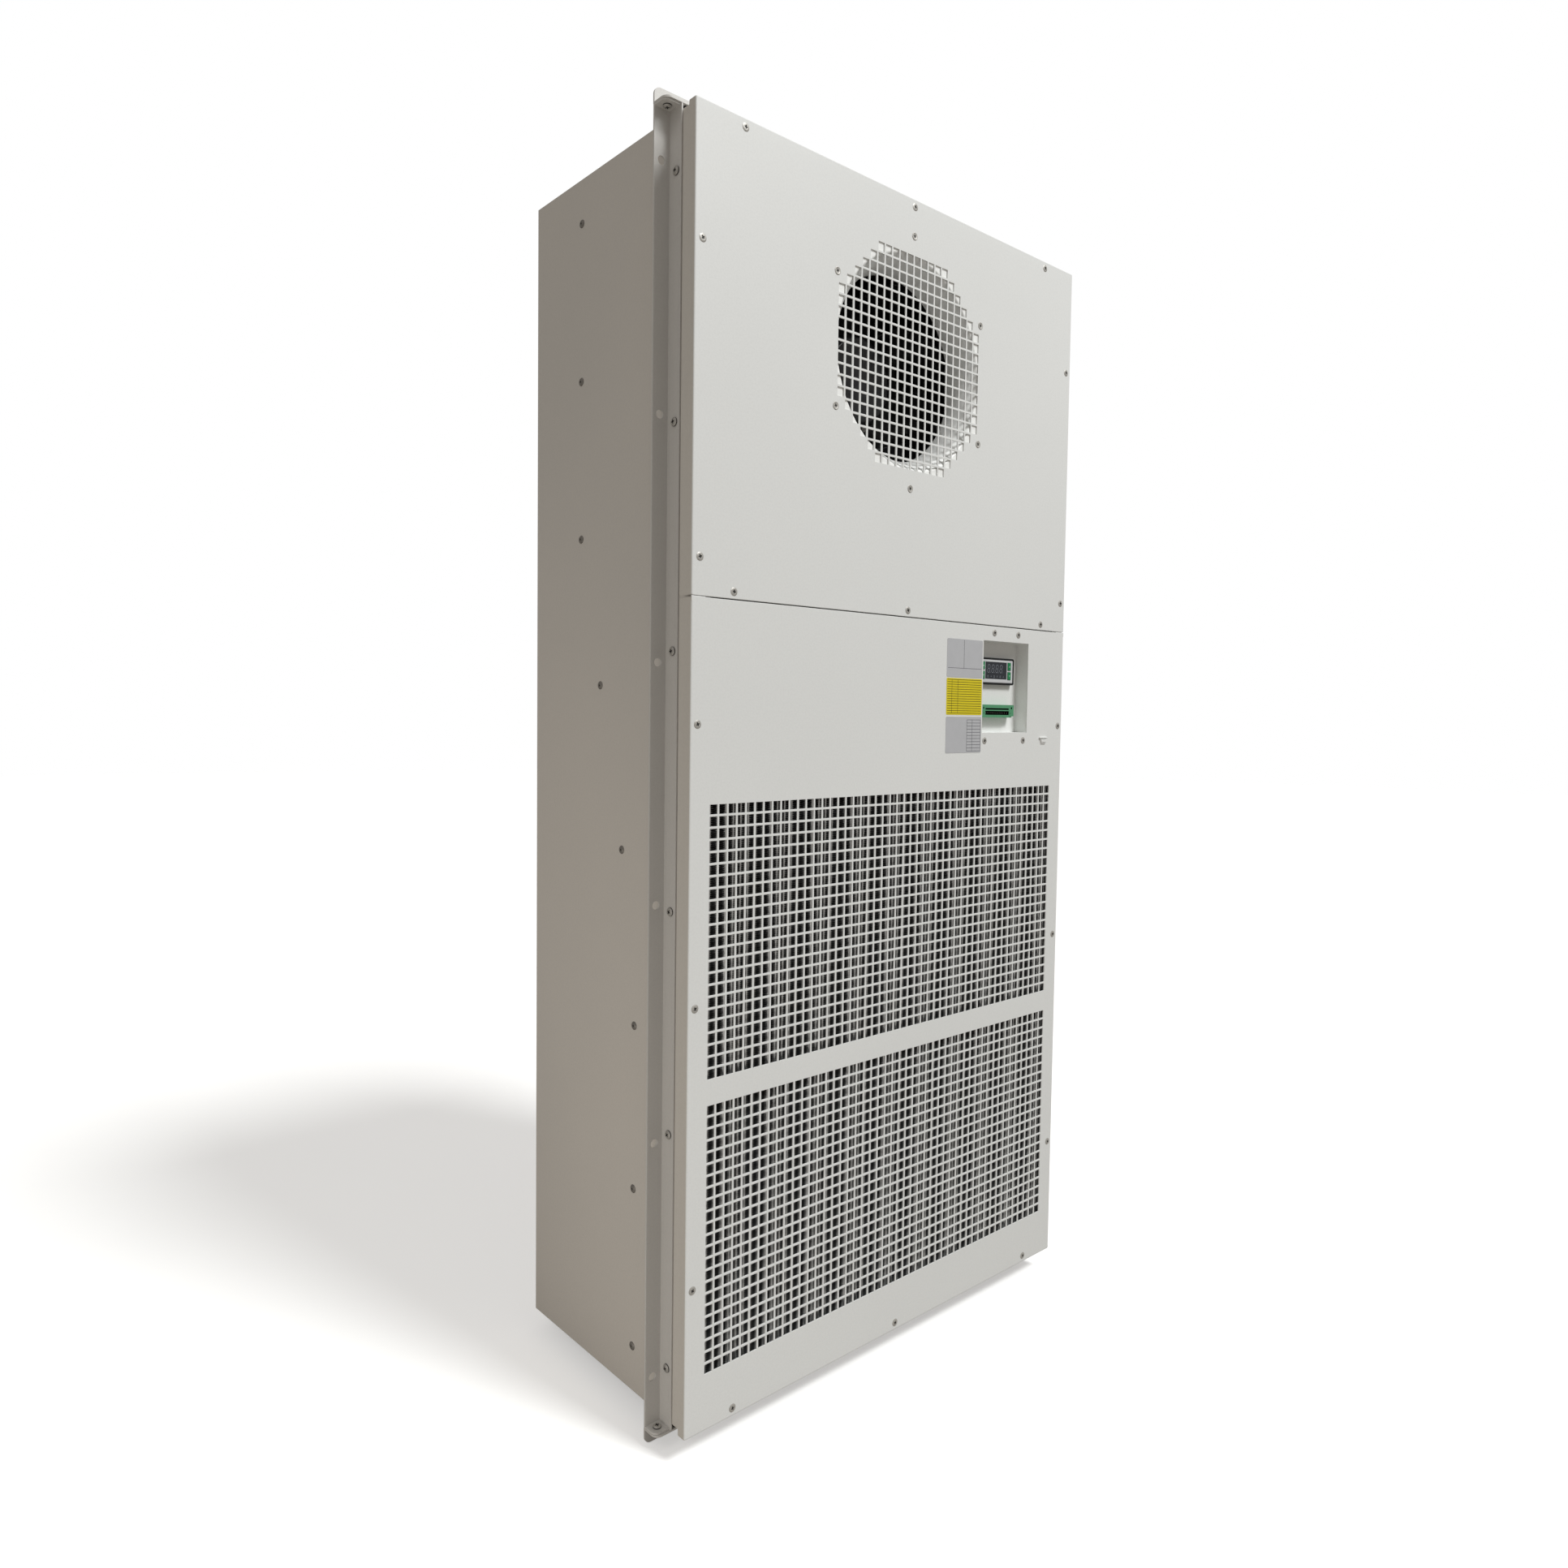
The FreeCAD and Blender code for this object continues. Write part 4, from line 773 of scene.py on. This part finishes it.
# ------------------------------------------------------------------ control recess
BX0, BX1, BZ0, BZ1 = 155.0, 232.0, 794.8, 829.8
WIN = (170.5, 216.5, 802.0, 824.4)
KEYS = {"button_up": (218.2, 224.8, 814.2, 824.2), "button_down": (218.2, 224.8, 801.8, 811.8),
        "button_set": (162.2, 168.8, 814.2, 824.2), "button_back": (162.2, 168.8, 801.8, 811.8)}
b = Builder()
# moulded rim: a rounded frame swept round the face
def frame_sweep(b, x0, x1, z0, z1, rc, prof, mat=0, n=6):
    """Closed profile (inward offset, y) swept round a rounded rectangle."""
    path = []
    for cx, cz, a0 in ((x1 - rc, z0 + rc, -90), (x1 - rc, z1 - rc, 0), (x0 + rc, z1 - rc, 90), (x0 + rc, z0 + rc, 180)):
        for k in range(n + 1):
            a = math.radians(a0 + 90 * k / n)
            path.append((cx, cz, math.cos(a), math.sin(a)))
    pts, faces = [], []
    m = len(prof)
    for cx, cz, ux, uz in path:
        for o, y in prof:
            rr = rc - o
            if rr >= 0.05:
                pts.append((cx + rr * ux, y, cz + rr * uz))
            else:
                sx, sz = (1 if ux >= -1e-9 and cx > 0.5 * (x0 + x1) else -1), (1 if cz > 0.5 * (z0 + z1) else -1)
                pts.append((cx - sx * (0.05 - rr) + 0.05 * ux, y, cz - sz * (0.05 - rr) + 0.05 * uz))
    q = len(path)
    for i in range(q):
        j = (i + 1) % q
        for k in range(m):
            l = (k + 1) % m
            faces.append((i * m + k, i * m + l, j * m + l, j * m + k))
    b.add(pts, faces, mat)


frame_sweep(b, BX0, BX1, BZ0, BZ1, 2.4, [(0.0, 19.2), (0.0, 14.6), (0.12, 14.1), (0.45, 13.75), (0.9, 13.62), (1.9, 13.62), (2.15, 13.75), (2.25, 14.0), (2.25, 19.2)])
# silver face with cut-outs for the display and the keys
fx0, fx1, fz0, fz1 = BX0 + 2.1, BX1 - 2.1, BZ0 + 2.1, BZ1 - 2.1
cuts = [(WIN[0], WIN[1], WIN[2], WIN[3])] + [(a - 0.35, c + 0.35, d - 0.35, e + 0.35) for a, c, d, e in KEYS.values()]
fb = Builder()
sheet_tray(fb, fx0, fx1, fz0, fz1, 14.0, 1, 1.2, 1.3, cuts, lambda x, z: 2.0, r=0.12, nr=2, nR=2)
o = len(b.v)
b.v += fb.v
b.f += [tuple(o + i for i in f) for f in fb.f]
b.m += [1] * len(fb.f)
b.make("controller_front", [M_BEZEL, M_FACE], slot="bezel_plastic", replaces=["controller_bezel"])

b = Builder()
b.add_bm(rbox(WIN[0], WIN[1], 14.12, 16.0, WIN[2], WIN[3], 0.25, 2))


def seg_bar(b, x, z, w, h, slant=0.0):
    """Small raised bar of an unlit display, slightly slanted."""
    y0, y1 = 14.06, 14.13
    k = slant
    pts = [(x - w / 2 - k * h / 2, y0, z - h / 2), (x + w / 2 - k * h / 2, y0, z - h / 2),
           (x + w / 2 + k * h / 2, y0, z + h / 2), (x - w / 2 + k * h / 2, y0, z + h / 2)]
    pts += [(p[0], y1, p[2]) for p in pts]
    b.add(pts, [(0, 1, 2, 3), (7, 6, 5, 4), (0, 4, 5, 1), (1, 5, 6, 2), (2, 6, 7, 3), (3, 7, 4, 0)], 1)


for d in range(4):
    cx, cz = 177.9 + 8.7 * d, 815.6
    for dx, dz, w, h in ((0, 4.9, 3.6, 0.75), (0, 0, 3.6, 0.75), (0, -4.9, 3.6, 0.75), (-2.35, 2.45, 0.75, 3.9), (2.35, 2.45, 0.75, 3.9),
                         (-2.35, -2.45, 0.75, 3.9), (2.35, -2.45, 0.75, 3.9)):
        seg_bar(b, cx + dx + 0.09 * dz, cz + dz, w, h, 0.09)
    seg_bar(b, cx + 3.9 - 0.4, cz - 4.9, 0.7, 0.7)
for d in range(6):
    cx, cz = 176.2 + 6.6 * d, 805.4
    for dx, dz, w, h in ((0, 1.1, 2.2, 0.4), (0, -1.1, 2.2, 0.4), (-0.9, 0, 0.4, 1.9), (0.9, 0, 0.4, 1.9)) if d % 2 == 0 else \
            ((0, 0, 2.2, 0.4), (0, 0.0, 0.4, 2.4), (0, 1.1, 1.2, 0.4)):
        seg_bar(b, cx + dx, cz + dz, w, h)
b.make("display_panel", [M_WINDOW, M_SEGMENT], slot="display_dark", replaces=["display_window"])

for k, (x0, x1, z0, z1) in KEYS.items():
    b = Builder()
    b.add_bm(rbox(x0, x1, 13.2, 17.4, z0, z1, 0.6, 3))
    cx, cz = 0.5 * (x0 + x1), 0.5 * (z0 + z1)
    if k in ("button_up", "button_down"):
        s = 1 if k == "button_up" else -1
        tri = [(cx - 1.1, cz - 0.8 * s), (cx + 1.1, cz - 0.8 * s), (cx, cz + 1.1 * s)]
    else:
        tri = [(cx - 1.0, cz - 0.5), (cx + 1.0, cz - 0.5), (cx + 1.0, cz + 0.5), (cx - 1.0, cz + 0.5)]
    pts = [(x, 13.14, z) for x, z in tri] + [(x, 13.25, z) for x, z in tri]
    n = len(tri)
    b.add(pts, [tuple(range(n)), tuple(range(2 * n - 1, n - 1, -1))] + [(i, (i + 1) % n, n + (i + 1) % n, n + i) for i in range(n)], 1)
    b.make(k + "_cap", [M_KEY, M_KEYMARK], body="key_" + k.split("_")[1], slot="key_green", replaces=[k])

# ------------------------------------------------------------------ labels: blank plates with ruled lines
def plate(b, x0, x1, z0, z1):
    b.add_bm(rbox(x0, x1, -0.25, -0.005, z0, z1, 1.6, 4, edges=lambda c: abs(c.y + 0.1275) < 0.05))


def rule(b, x0, x1, z0, z1, mat=1, y=-0.25):
    pts = [(x0, y - 0.02, z0), (x1, y - 0.02, z0), (x1, y - 0.02, z1), (x0, y - 0.02, z1)]
    pts += [(p[0], y + 0.03, p[2]) for p in pts]
    b.add(pts, [(0, 1, 2, 3), (7, 6, 5, 4), (0, 4, 5, 1), (1, 5, 6, 2), (2, 6, 7, 3), (3, 7, 4, 0)], mat)


LX0, LX1 = 74.5, 145.0
b = Builder()
plate(b, LX0, LX1, 801.2, 849.0)
rule(b, LX0 + 2, LX1 - 1.5, 812.5, 813.0)
rule(b, 107.5, 108.1, 813.0, 848.0)
plate(b, LX0, LX1, 706.6, 752.0)
for i in range(11):
    z = 708.4 + 3.95 * i
    rule(b, 115.8, LX1 - 1.4, z, z + 0.55)
for x in (115.6, 126.2, LX1 - 1.9):
    rule(b, x, x + 0.6, 708.4, 708.4 + 39.8)
b.make("blank_plates_grey", [M_LABEL, M_RULE], slot="label_grey", replaces=["labels_grey"])
b = Builder()
plate(b, LX0, LX1, 754.4, 800.0)
for i in range(15):
    z = 756.2 + 2.98 * i
    rule(b, LX0 + 1.5, LX1 - 1.5, z, z + 0.72)
for x in (84.6, 96.4):
    rule(b, x, x + 0.6, 756.2, 756.2 + 41.7)
b.make("blank_plate_yellow", [M_YELLOW, M_RULE_Y], slot="label_yellow", replaces=["label_yellow"])


# ------------------------------------------------------------------ nodes carried over from the frame
FLAT = {"front_frame", "top_panel", "bottom_panel", "rail_top", "rail_bottom",
        "rail_packing", "flange_gasket", "partition", "coil_side_plates", "pump_bracket", "front_fan_bracket", "rear_fan_bracket", "recess_tray",
        "controller_housing", "terminal_header", "terminal_pins", "electrical_box", "electrical_box_lid", "control_board"}


def carry(node, mat, bevel=0.0):
    ob = nodes[node]
    ob.data.materials.clear()
    ob.data.materials.append(mat)
    w = ob.modifiers.new("weld", "WELD")
    w.merge_threshold = 2e-6
    if node in FLAT:
        # flat sheet and block shapes keep their face normals; small rounded edges take the light
        v = ob.modifiers.new("round", "BEVEL")
        v.width = max(bevel, 0.2) * 0.001
        v.segments = 3
        v.limit_method = "ANGLE"
        v.angle_limit = math.radians(40)
        v.use_clamp_overlap = True
        for p in ob.data.polygons:
            p.use_smooth = False
        return
    if bevel:
        v = ob.modifiers.new("round", "BEVEL")
        v.width = bevel * 0.001
        v.segments = 2
        v.limit_method = "ANGLE"
        v.angle_limit = math.radians(40)
        v.use_clamp_overlap = True
        v.harden_normals = False
    for p in ob.data.polygons:
        p.use_smooth = True
    s = ob.modifiers.new("weighted", "WEIGHTED_NORMAL")
    s.keep_sharp = True


# side panels: one flat sheet each, notched beside the covers' end folds; the fasteners cover their holes
def side_sheet(name, s, node):
    b = Builder()
    poly = [(12.0, 2.5), (21.5, 2.5), (21.5, -5.0), (325.0, -5.0), (325.0, 1360.0), (21.5, 1360.0), (21.5, 1352.5), (12.0, 1352.5)]
    bm = bmesh.new()
    lo = [bm.verts.new((s * 312.5, y, z)) for y, z in poly]
    hi = [bm.verts.new((s * 314.0, y, z)) for y, z in poly]
    n = len(poly)
    bm.faces.new(lo)
    bm.faces.new(hi[::-1])
    for q in range(n):
        bm.faces.new((lo[q], hi[q], hi[(q + 1) % n], lo[(q + 1) % n]))
    bmesh.ops.recalc_face_normals(bm, faces=bm.faces)
    outer = [e for e in bm.edges if all(abs(abs(v.co.x) - 314.0) < 0.01 for v in e.verts)]
    bmesh.ops.bevel(bm, geom=outer, offset=0.6, offset_type="OFFSET", segments=3, profile=0.5, affect="EDGES", clamp_overlap=True)
    b.add_bm(bm)
    return b.make(name, [M_BODY_SHADED], slot="cabinet_paint", replaces=[node], sharp=50)


side_sheet("side_sheet_left", -1, "side_panel_left")
side_sheet("side_sheet_right", 1, "side_panel_right")


# upright rails of the flange: a plate with its round holes, the leg that stands on it and an end tab at each end
def rail_sheet(name, s, node):
    b = Builder()
    X = [314.0, 319.0, 333.0, 335.5]
    mids = [677.5 + 254.0 * k for k in (-2.5, -1.5, -0.5, 0.5, 1.5, 2.5)]
    Z = [-10.5] + [v for m in mids for v in (m - 7.0, m + 7.0)] + [1365.5]
    nz, n = len(Z), 32
    bm = bmesh.new()
    grid = {(q, i, k): bm.verts.new((s * X[i], y, Z[k])) for q, y in enumerate((55.0, 57.0)) for i in range(4) for k in range(nz)}
    for i in range(3):
        for k in range(nz - 1):
            if i == 1 and k % 2 == 1:
                m = 0.5 * (Z[k] + Z[k + 1])
                rows = [[bm.verts.new((s * (326.0 + r * math.cos(2 * math.pi * j / n)), y, m + r * math.sin(2 * math.pi * j / n)))
                         for j in range(n)] for r, y in ((4.8, 55.0), (4.58, 55.09), (4.5, 55.3), (4.5, 56.7), (4.58, 56.91), (4.8, 57.0))]
                for lo, hi in zip(rows, rows[1:]):
                    for j in range(n):
                        bm.faces.new((lo[j], lo[(j + 1) % n], hi[(j + 1) % n], hi[j]))
                for q, ring in ((0, rows[0]), (1, rows[-1])):
                    # corners in turn: right-top, left-top, left-bottom, right-bottom
                    cs = [grid[q, 2, k + 1], grid[q, 1, k + 1], grid[q, 1, k], grid[q, 2, k]]
                    for c in range(4):
                        for j in range(c * n // 4, (c + 1) * n // 4):
                            bm.faces.new((cs[c], ring[j], ring[(j + 1) % n]))
                        bm.faces.new((cs[c], ring[((c + 1) * n // 4) % n], cs[(c + 1) % 4]))
            else:
                for q in (0, 1):
                    bm.faces.new((grid[q, i, k], grid[q, i + 1, k], grid[q, i + 1, k + 1], grid[q, i, k + 1]))
    edge = [(i, 0) for i in range(3)] + [(3, k) for k in range(nz - 1)] + [(i, nz - 1) for i in range(3, 0, -1)] + [(0, k) for k in range(nz - 1, 0, -1)]
    for a, c in zip(edge, edge[1:] + edge[:1]):
        bm.faces.new((grid[0, a[0], a[1]], grid[0, c[0], c[1]], grid[1, c[0], c[1]], grid[1, a[0], a[1]]))
    bmesh.ops.recalc_face_normals(bm, faces=bm.faces)
    outer = [e for e in bm.edges if all(abs(abs(v.co.x) - 335.5) < 0.01 for v in e.verts) and abs(e.verts[0].co.y - e.verts[1].co.y) < 0.01]
    bmesh.ops.bevel(bm, geom=outer, offset=0.55, offset_type="OFFSET", segments=3, profile=0.5, affect="EDGES", clamp_overlap=True)
    b.add_bm(bm)
    b.add_bm(rbox(min(s * 314.0, s * 316.0), max(s * 314.0, s * 316.0), 35.0, 55.0, -10.5, 1365.5, 0.6, 3, edges=lambda c: c.y < 36.0))
    for z0, z1 in ((-10.5, -8.5), (1363.5, 1365.5)):
        plan = [(316.0, 55.0), (316.0, 37.0)] + [(328.5 + 7.0 * math.sin(math.radians(a)), 44.0 - 7.0 * math.cos(math.radians(a))) for a in range(0, 91, 10)] \
            + [(335.5, 55.0)]
        bm = bmesh.new()
        lo = [bm.verts.new((s * x, y, z0)) for x, y in plan]
        hi = [bm.verts.new((s * x, y, z1)) for x, y in plan]
        bm.faces.new(lo)
        bm.faces.new(hi[::-1])
        for q in range(len(plan)):
            w = (q + 1) % len(plan)
            bm.faces.new((lo[q], hi[q], hi[w], lo[w]))
        bmesh.ops.recalc_face_normals(bm, faces=bm.faces)
        rim = [e for e in bm.edges if abs(e.verts[0].co.z - e.verts[1].co.z) < 0.01 and not all(v.co.y > 54.9 for v in e.verts)
               and not all(abs(v.co.x) < 316.1 for v in e.verts)]
        bmesh.ops.bevel(bm, geom=rim, offset=0.45, offset_type="OFFSET", segments=3, profile=0.5, affect="EDGES", clamp_overlap=True)
        b.add_bm(bm)
    return b.make(name, [M_FLANGE], slot="flange_paint", replaces=[node], sharp=50, clean=False)


rail_sheet("rail_sheet_left", -1, "rail_left")
rail_sheet("rail_sheet_right", 1, "rail_right")

CARRY = [("front_frame", M_GALV, 0), ("top_panel", M_BODY_SHADED, 0.35),
         ("bottom_panel", M_BODY_SHADED, 0.35), ("rail_top", M_FLANGE, 0.4),
         ("rail_bottom", M_FLANGE, 0.4), ("rail_packing", M_RUBBER, 0.5), ("flange_gasket", M_FOAM, 0.5), ("partition", M_GALV, 0.3),
         ("front_coil_headers", M_TUBE, 0.4), ("rear_coil_headers", M_TUBE, 0.4), ("coil_side_plates", M_GALV, 0.3),
         ("liquid_pipes", M_COPPER, 0), ("vapour_pipe", M_COPPER, 0), ("circulation_pump", M_PUMP, 0), ("pump_bracket", M_GALV, 0.3),
         ("front_fan_impeller", M_FAN, 0), ("rear_fan_impeller", M_FAN, 0), ("front_fan_rotor", M_ROTOR, 0), ("rear_fan_rotor", M_ROTOR, 0),
         ("front_fan_stator", M_STATOR, 0), ("rear_fan_stator", M_STATOR, 0), ("front_fan_bracket", M_GALV, 0.3), ("rear_fan_bracket", M_GALV, 0.3),
         ("front_impeller_screws", M_SCREW, 0), ("rear_impeller_screws", M_SCREW, 0), ("fan_motor_screws", M_SCREW, 0),
         ("recess_tray", M_TRAY_LIT, 0.3), ("controller_housing", M_BEZEL, 0.5), ("terminal_header", M_HEADER, 0.25), ("terminal_pins", M_PIN, 0.1),
         ("electrical_box", M_GALV, 0.3), ("electrical_box_lid", M_GALV, 0.3), ("control_board", M_BOARD, 0.3)]
for name, mat, bev in CARRY:
    carry(name, mat, bev)

# painted shade: dark sheets in the header's plug cavity, keying slot and screw holes
b = Builder()


def shade_sheet(b, x0, x1, z0, z1, front, back):
    """Open-fronted dark sheet of painted shade in a rectangular cavity, a hair inside its walls."""
    t, g = 0.10, 0.015
    x0, x1, z0, z1 = x0 + g, x1 - g, z0 + g, z1 - g
    out = [(x0, z0), (x1, z0), (x1, z1), (x0, z1)]
    ins = [(x0 + t, z0 + t), (x1 - t, z0 + t), (x1 - t, z1 - t), (x0 + t, z1 - t)]
    pts = [(x, front, z) for x, z in out] + [(x, back, z) for x, z in out] + [(x, front, z) for x, z in ins] + [(x, back - t, z) for x, z in ins]
    faces = [(3, 2, 1, 0)[::-1]] * 0
    for q in range(4):
        w = (q + 1) % 4
        faces += [(q, w, 4 + w, 4 + q), (8 + w, 8 + q, 12 + q, 12 + w), (w, q, 8 + q, 8 + w)]
    faces += [(4, 5, 6, 7), (15, 14, 13, 12)]
    b.add(pts, faces)


HY = 8.5
shade_sheet(b, 164.9, 215.7, 755.0, 760.2, HY + 0.5, HY + 8.38)
shade_sheet(b, 165.2, 215.4, 761.7, 763.8, HY + 0.35, HY + 5.98)
for x, z, r, d in ((221.2, 764.0, 1.5, 5.98), (161.2, 764.0, 1.3, 5.98), (218.6, 757.2, 0.7, 3.98), (161.6, 757.2, 0.7, 3.98)):
    r -= 0.015
    lathe(b, [(r, 0.3), (r, d), (0.0, d), (0.0, d - 0.1), (r - 0.1, d - 0.1), (r - 0.1, 0.3)], (x, HY, z), (0, 1, 0), n=24)
b.make("header_cavity_shade", [M_HEADER_IN], slot="header_green", sharp=30)

# ------------------------------------------------------------------ stage, light and camera
me = bpy.data.meshes.new("floor")
bm = bmesh.new()
bmesh.ops.create_circle(bm, cap_ends=True, segments=96, radius=14.0)
bm.to_mesh(me)
bm.free()
floor = bpy.data.objects.new("floor", me)
floor.location = (0, 0, cad_box[0].z - 0.0005)
bpy.context.scene.collection.objects.link(floor)
m, nt, bs = new_mat("floor_pale")
v = coords(nt)
nt.links.new(ramp(nt, noise(nt, v, 1.6, 3.0), [(0.3, (0.915, 0.915, 0.91)), (0.7, (0.94, 0.94, 0.935))]), bs.inputs["Base Color"])
nt.links.new(span(nt, noise(nt, v, 9.0, 3.0), 0.62, 0.74), bs.inputs["Roughness"])
bs.inputs["Emission Color"].default_value = (1, 1, 1, 1)
bs.inputs["Emission Strength"].default_value = 0.40
dim = nt.nodes.new("ShaderNodeBsdfDiffuse")
dim.inputs["Color"].default_value = (0.38, 0.357, 0.33, 1)
lp = nt.nodes.new("ShaderNodeLightPath")
mx = nt.nodes.new("ShaderNodeMixShader")
nt.links.new(lp.outputs["Is Camera Ray"], mx.inputs[0])
nt.links.new(dim.outputs["BSDF"], mx.inputs[1])
nt.links.new(bs.outputs["BSDF"], mx.inputs[2])
nt.links.new(mx.outputs["Shader"], nt.nodes["Material Output"].inputs["Surface"])
me.materials.append(m)

world = bpy.data.worlds.new("studio")
bpy.context.scene.world = world
world.use_nodes = True
wn = world.node_tree
bg = wn.nodes["Background"]
bg.inputs["Color"].default_value = (1.0, 0.955, 0.90, 1)
bg.inputs["Strength"].default_value = 0.275
white = wn.nodes.new("ShaderNodeBackground")
white.inputs["Color"].default_value = (1, 1, 1, 1)
white.inputs["Strength"].default_value = 1.0
path = wn.nodes.new("ShaderNodeLightPath")
mixs = wn.nodes.new("ShaderNodeMixShader")
wn.links.new(path.outputs["Is Camera Ray"], mixs.inputs[0])
wn.links.new(bg.outputs["Background"], mixs.inputs[1])
wn.links.new(white.outputs["Background"], mixs.inputs[2])
wn.links.new(mixs.outputs["Shader"], wn.nodes["World Output"].inputs["Surface"])


def area(name, loc, target, size, watts, col=(1, 1, 1), size_y=None):
    d = bpy.data.lights.new(name, "AREA")
    d.energy = watts
    d.color = col
    d.shape = "RECTANGLE"
    d.size = size
    d.size_y = size_y or size
    o = bpy.data.objects.new(name, d)
    o.location = loc
    o.rotation_euler = (Vector(target) - Vector(loc)).to_track_quat("-Z", "Y").to_euler()
    bpy.context.scene.collection.objects.link(o)
    return o


def ceiling(name, toward, energy, degrees, col=(0.985, 1.0, 0.995)):
    d = bpy.data.lights.new(name, "SUN")
    d.energy = energy
    d.color = col
    d.angle = math.radians(degrees)
    o = bpy.data.objects.new(name, d)
    o.rotation_euler = Vector(toward).to_track_quat("-Z", "Y").to_euler()
    bpy.context.scene.collection.objects.link(o)
    return o


ceiling("ceiling_key", (-0.19, 0.58, -0.79), 1.62, 13)
ceiling("ceiling_side", (0.62, 0.12, -0.77), 0.20, 30, (1.0, 0.98, 0.95))
area("upper_fill", (0.65, -1.55, 2.05), (0.0, 0.0, 0.35), 1.0, 22.0, (0.985, 1.0, 1.0))
low = area("low_fill", (-1.32, -0.34, -0.48), (-0.33, 0.06, -0.60), 0.9, 1.9, (1.0, 0.95, 0.88), 0.25)
low.visible_camera = False

sc = bpy.context.scene
sc.view_settings.view_transform = "Standard"
sc.view_settings.look = "None"
sc.view_settings.exposure = 0.0
sc.view_settings.gamma = 1.0

cam_data = bpy.data.cameras.new("camera")
cam_data.sensor_fit = "HORIZONTAL"
cam_data.sensor_width = 36.0
W = 1932.0
F_PX, PPX, PPY = 1325.09, 899.249, 944.264
cam_data.lens = F_PX / W * 36.0
cam_data.shift_x = (W / 2 - PPX) / W
cam_data.shift_y = (PPY - W / 2) / W
cam_data.clip_end = 60.0
cam = bpy.data.objects.new("camera", cam_data)
right = Vector((0.76826, -0.64005, 0.01077)).normalized()
fwd = Vector((0.63977, 0.76714, -0.04676)).normalized()
up = right.cross(fwd).normalized()
right = fwd.cross(up).normalized()
rot = Matrix((right, up, -fwd)).transposed().to_4x4()
cam.matrix_world = Matrix.Translation((-0.984586, -0.910192, 0.072282)) @ rot
sc.collection.objects.link(cam)
sc.camera = cam
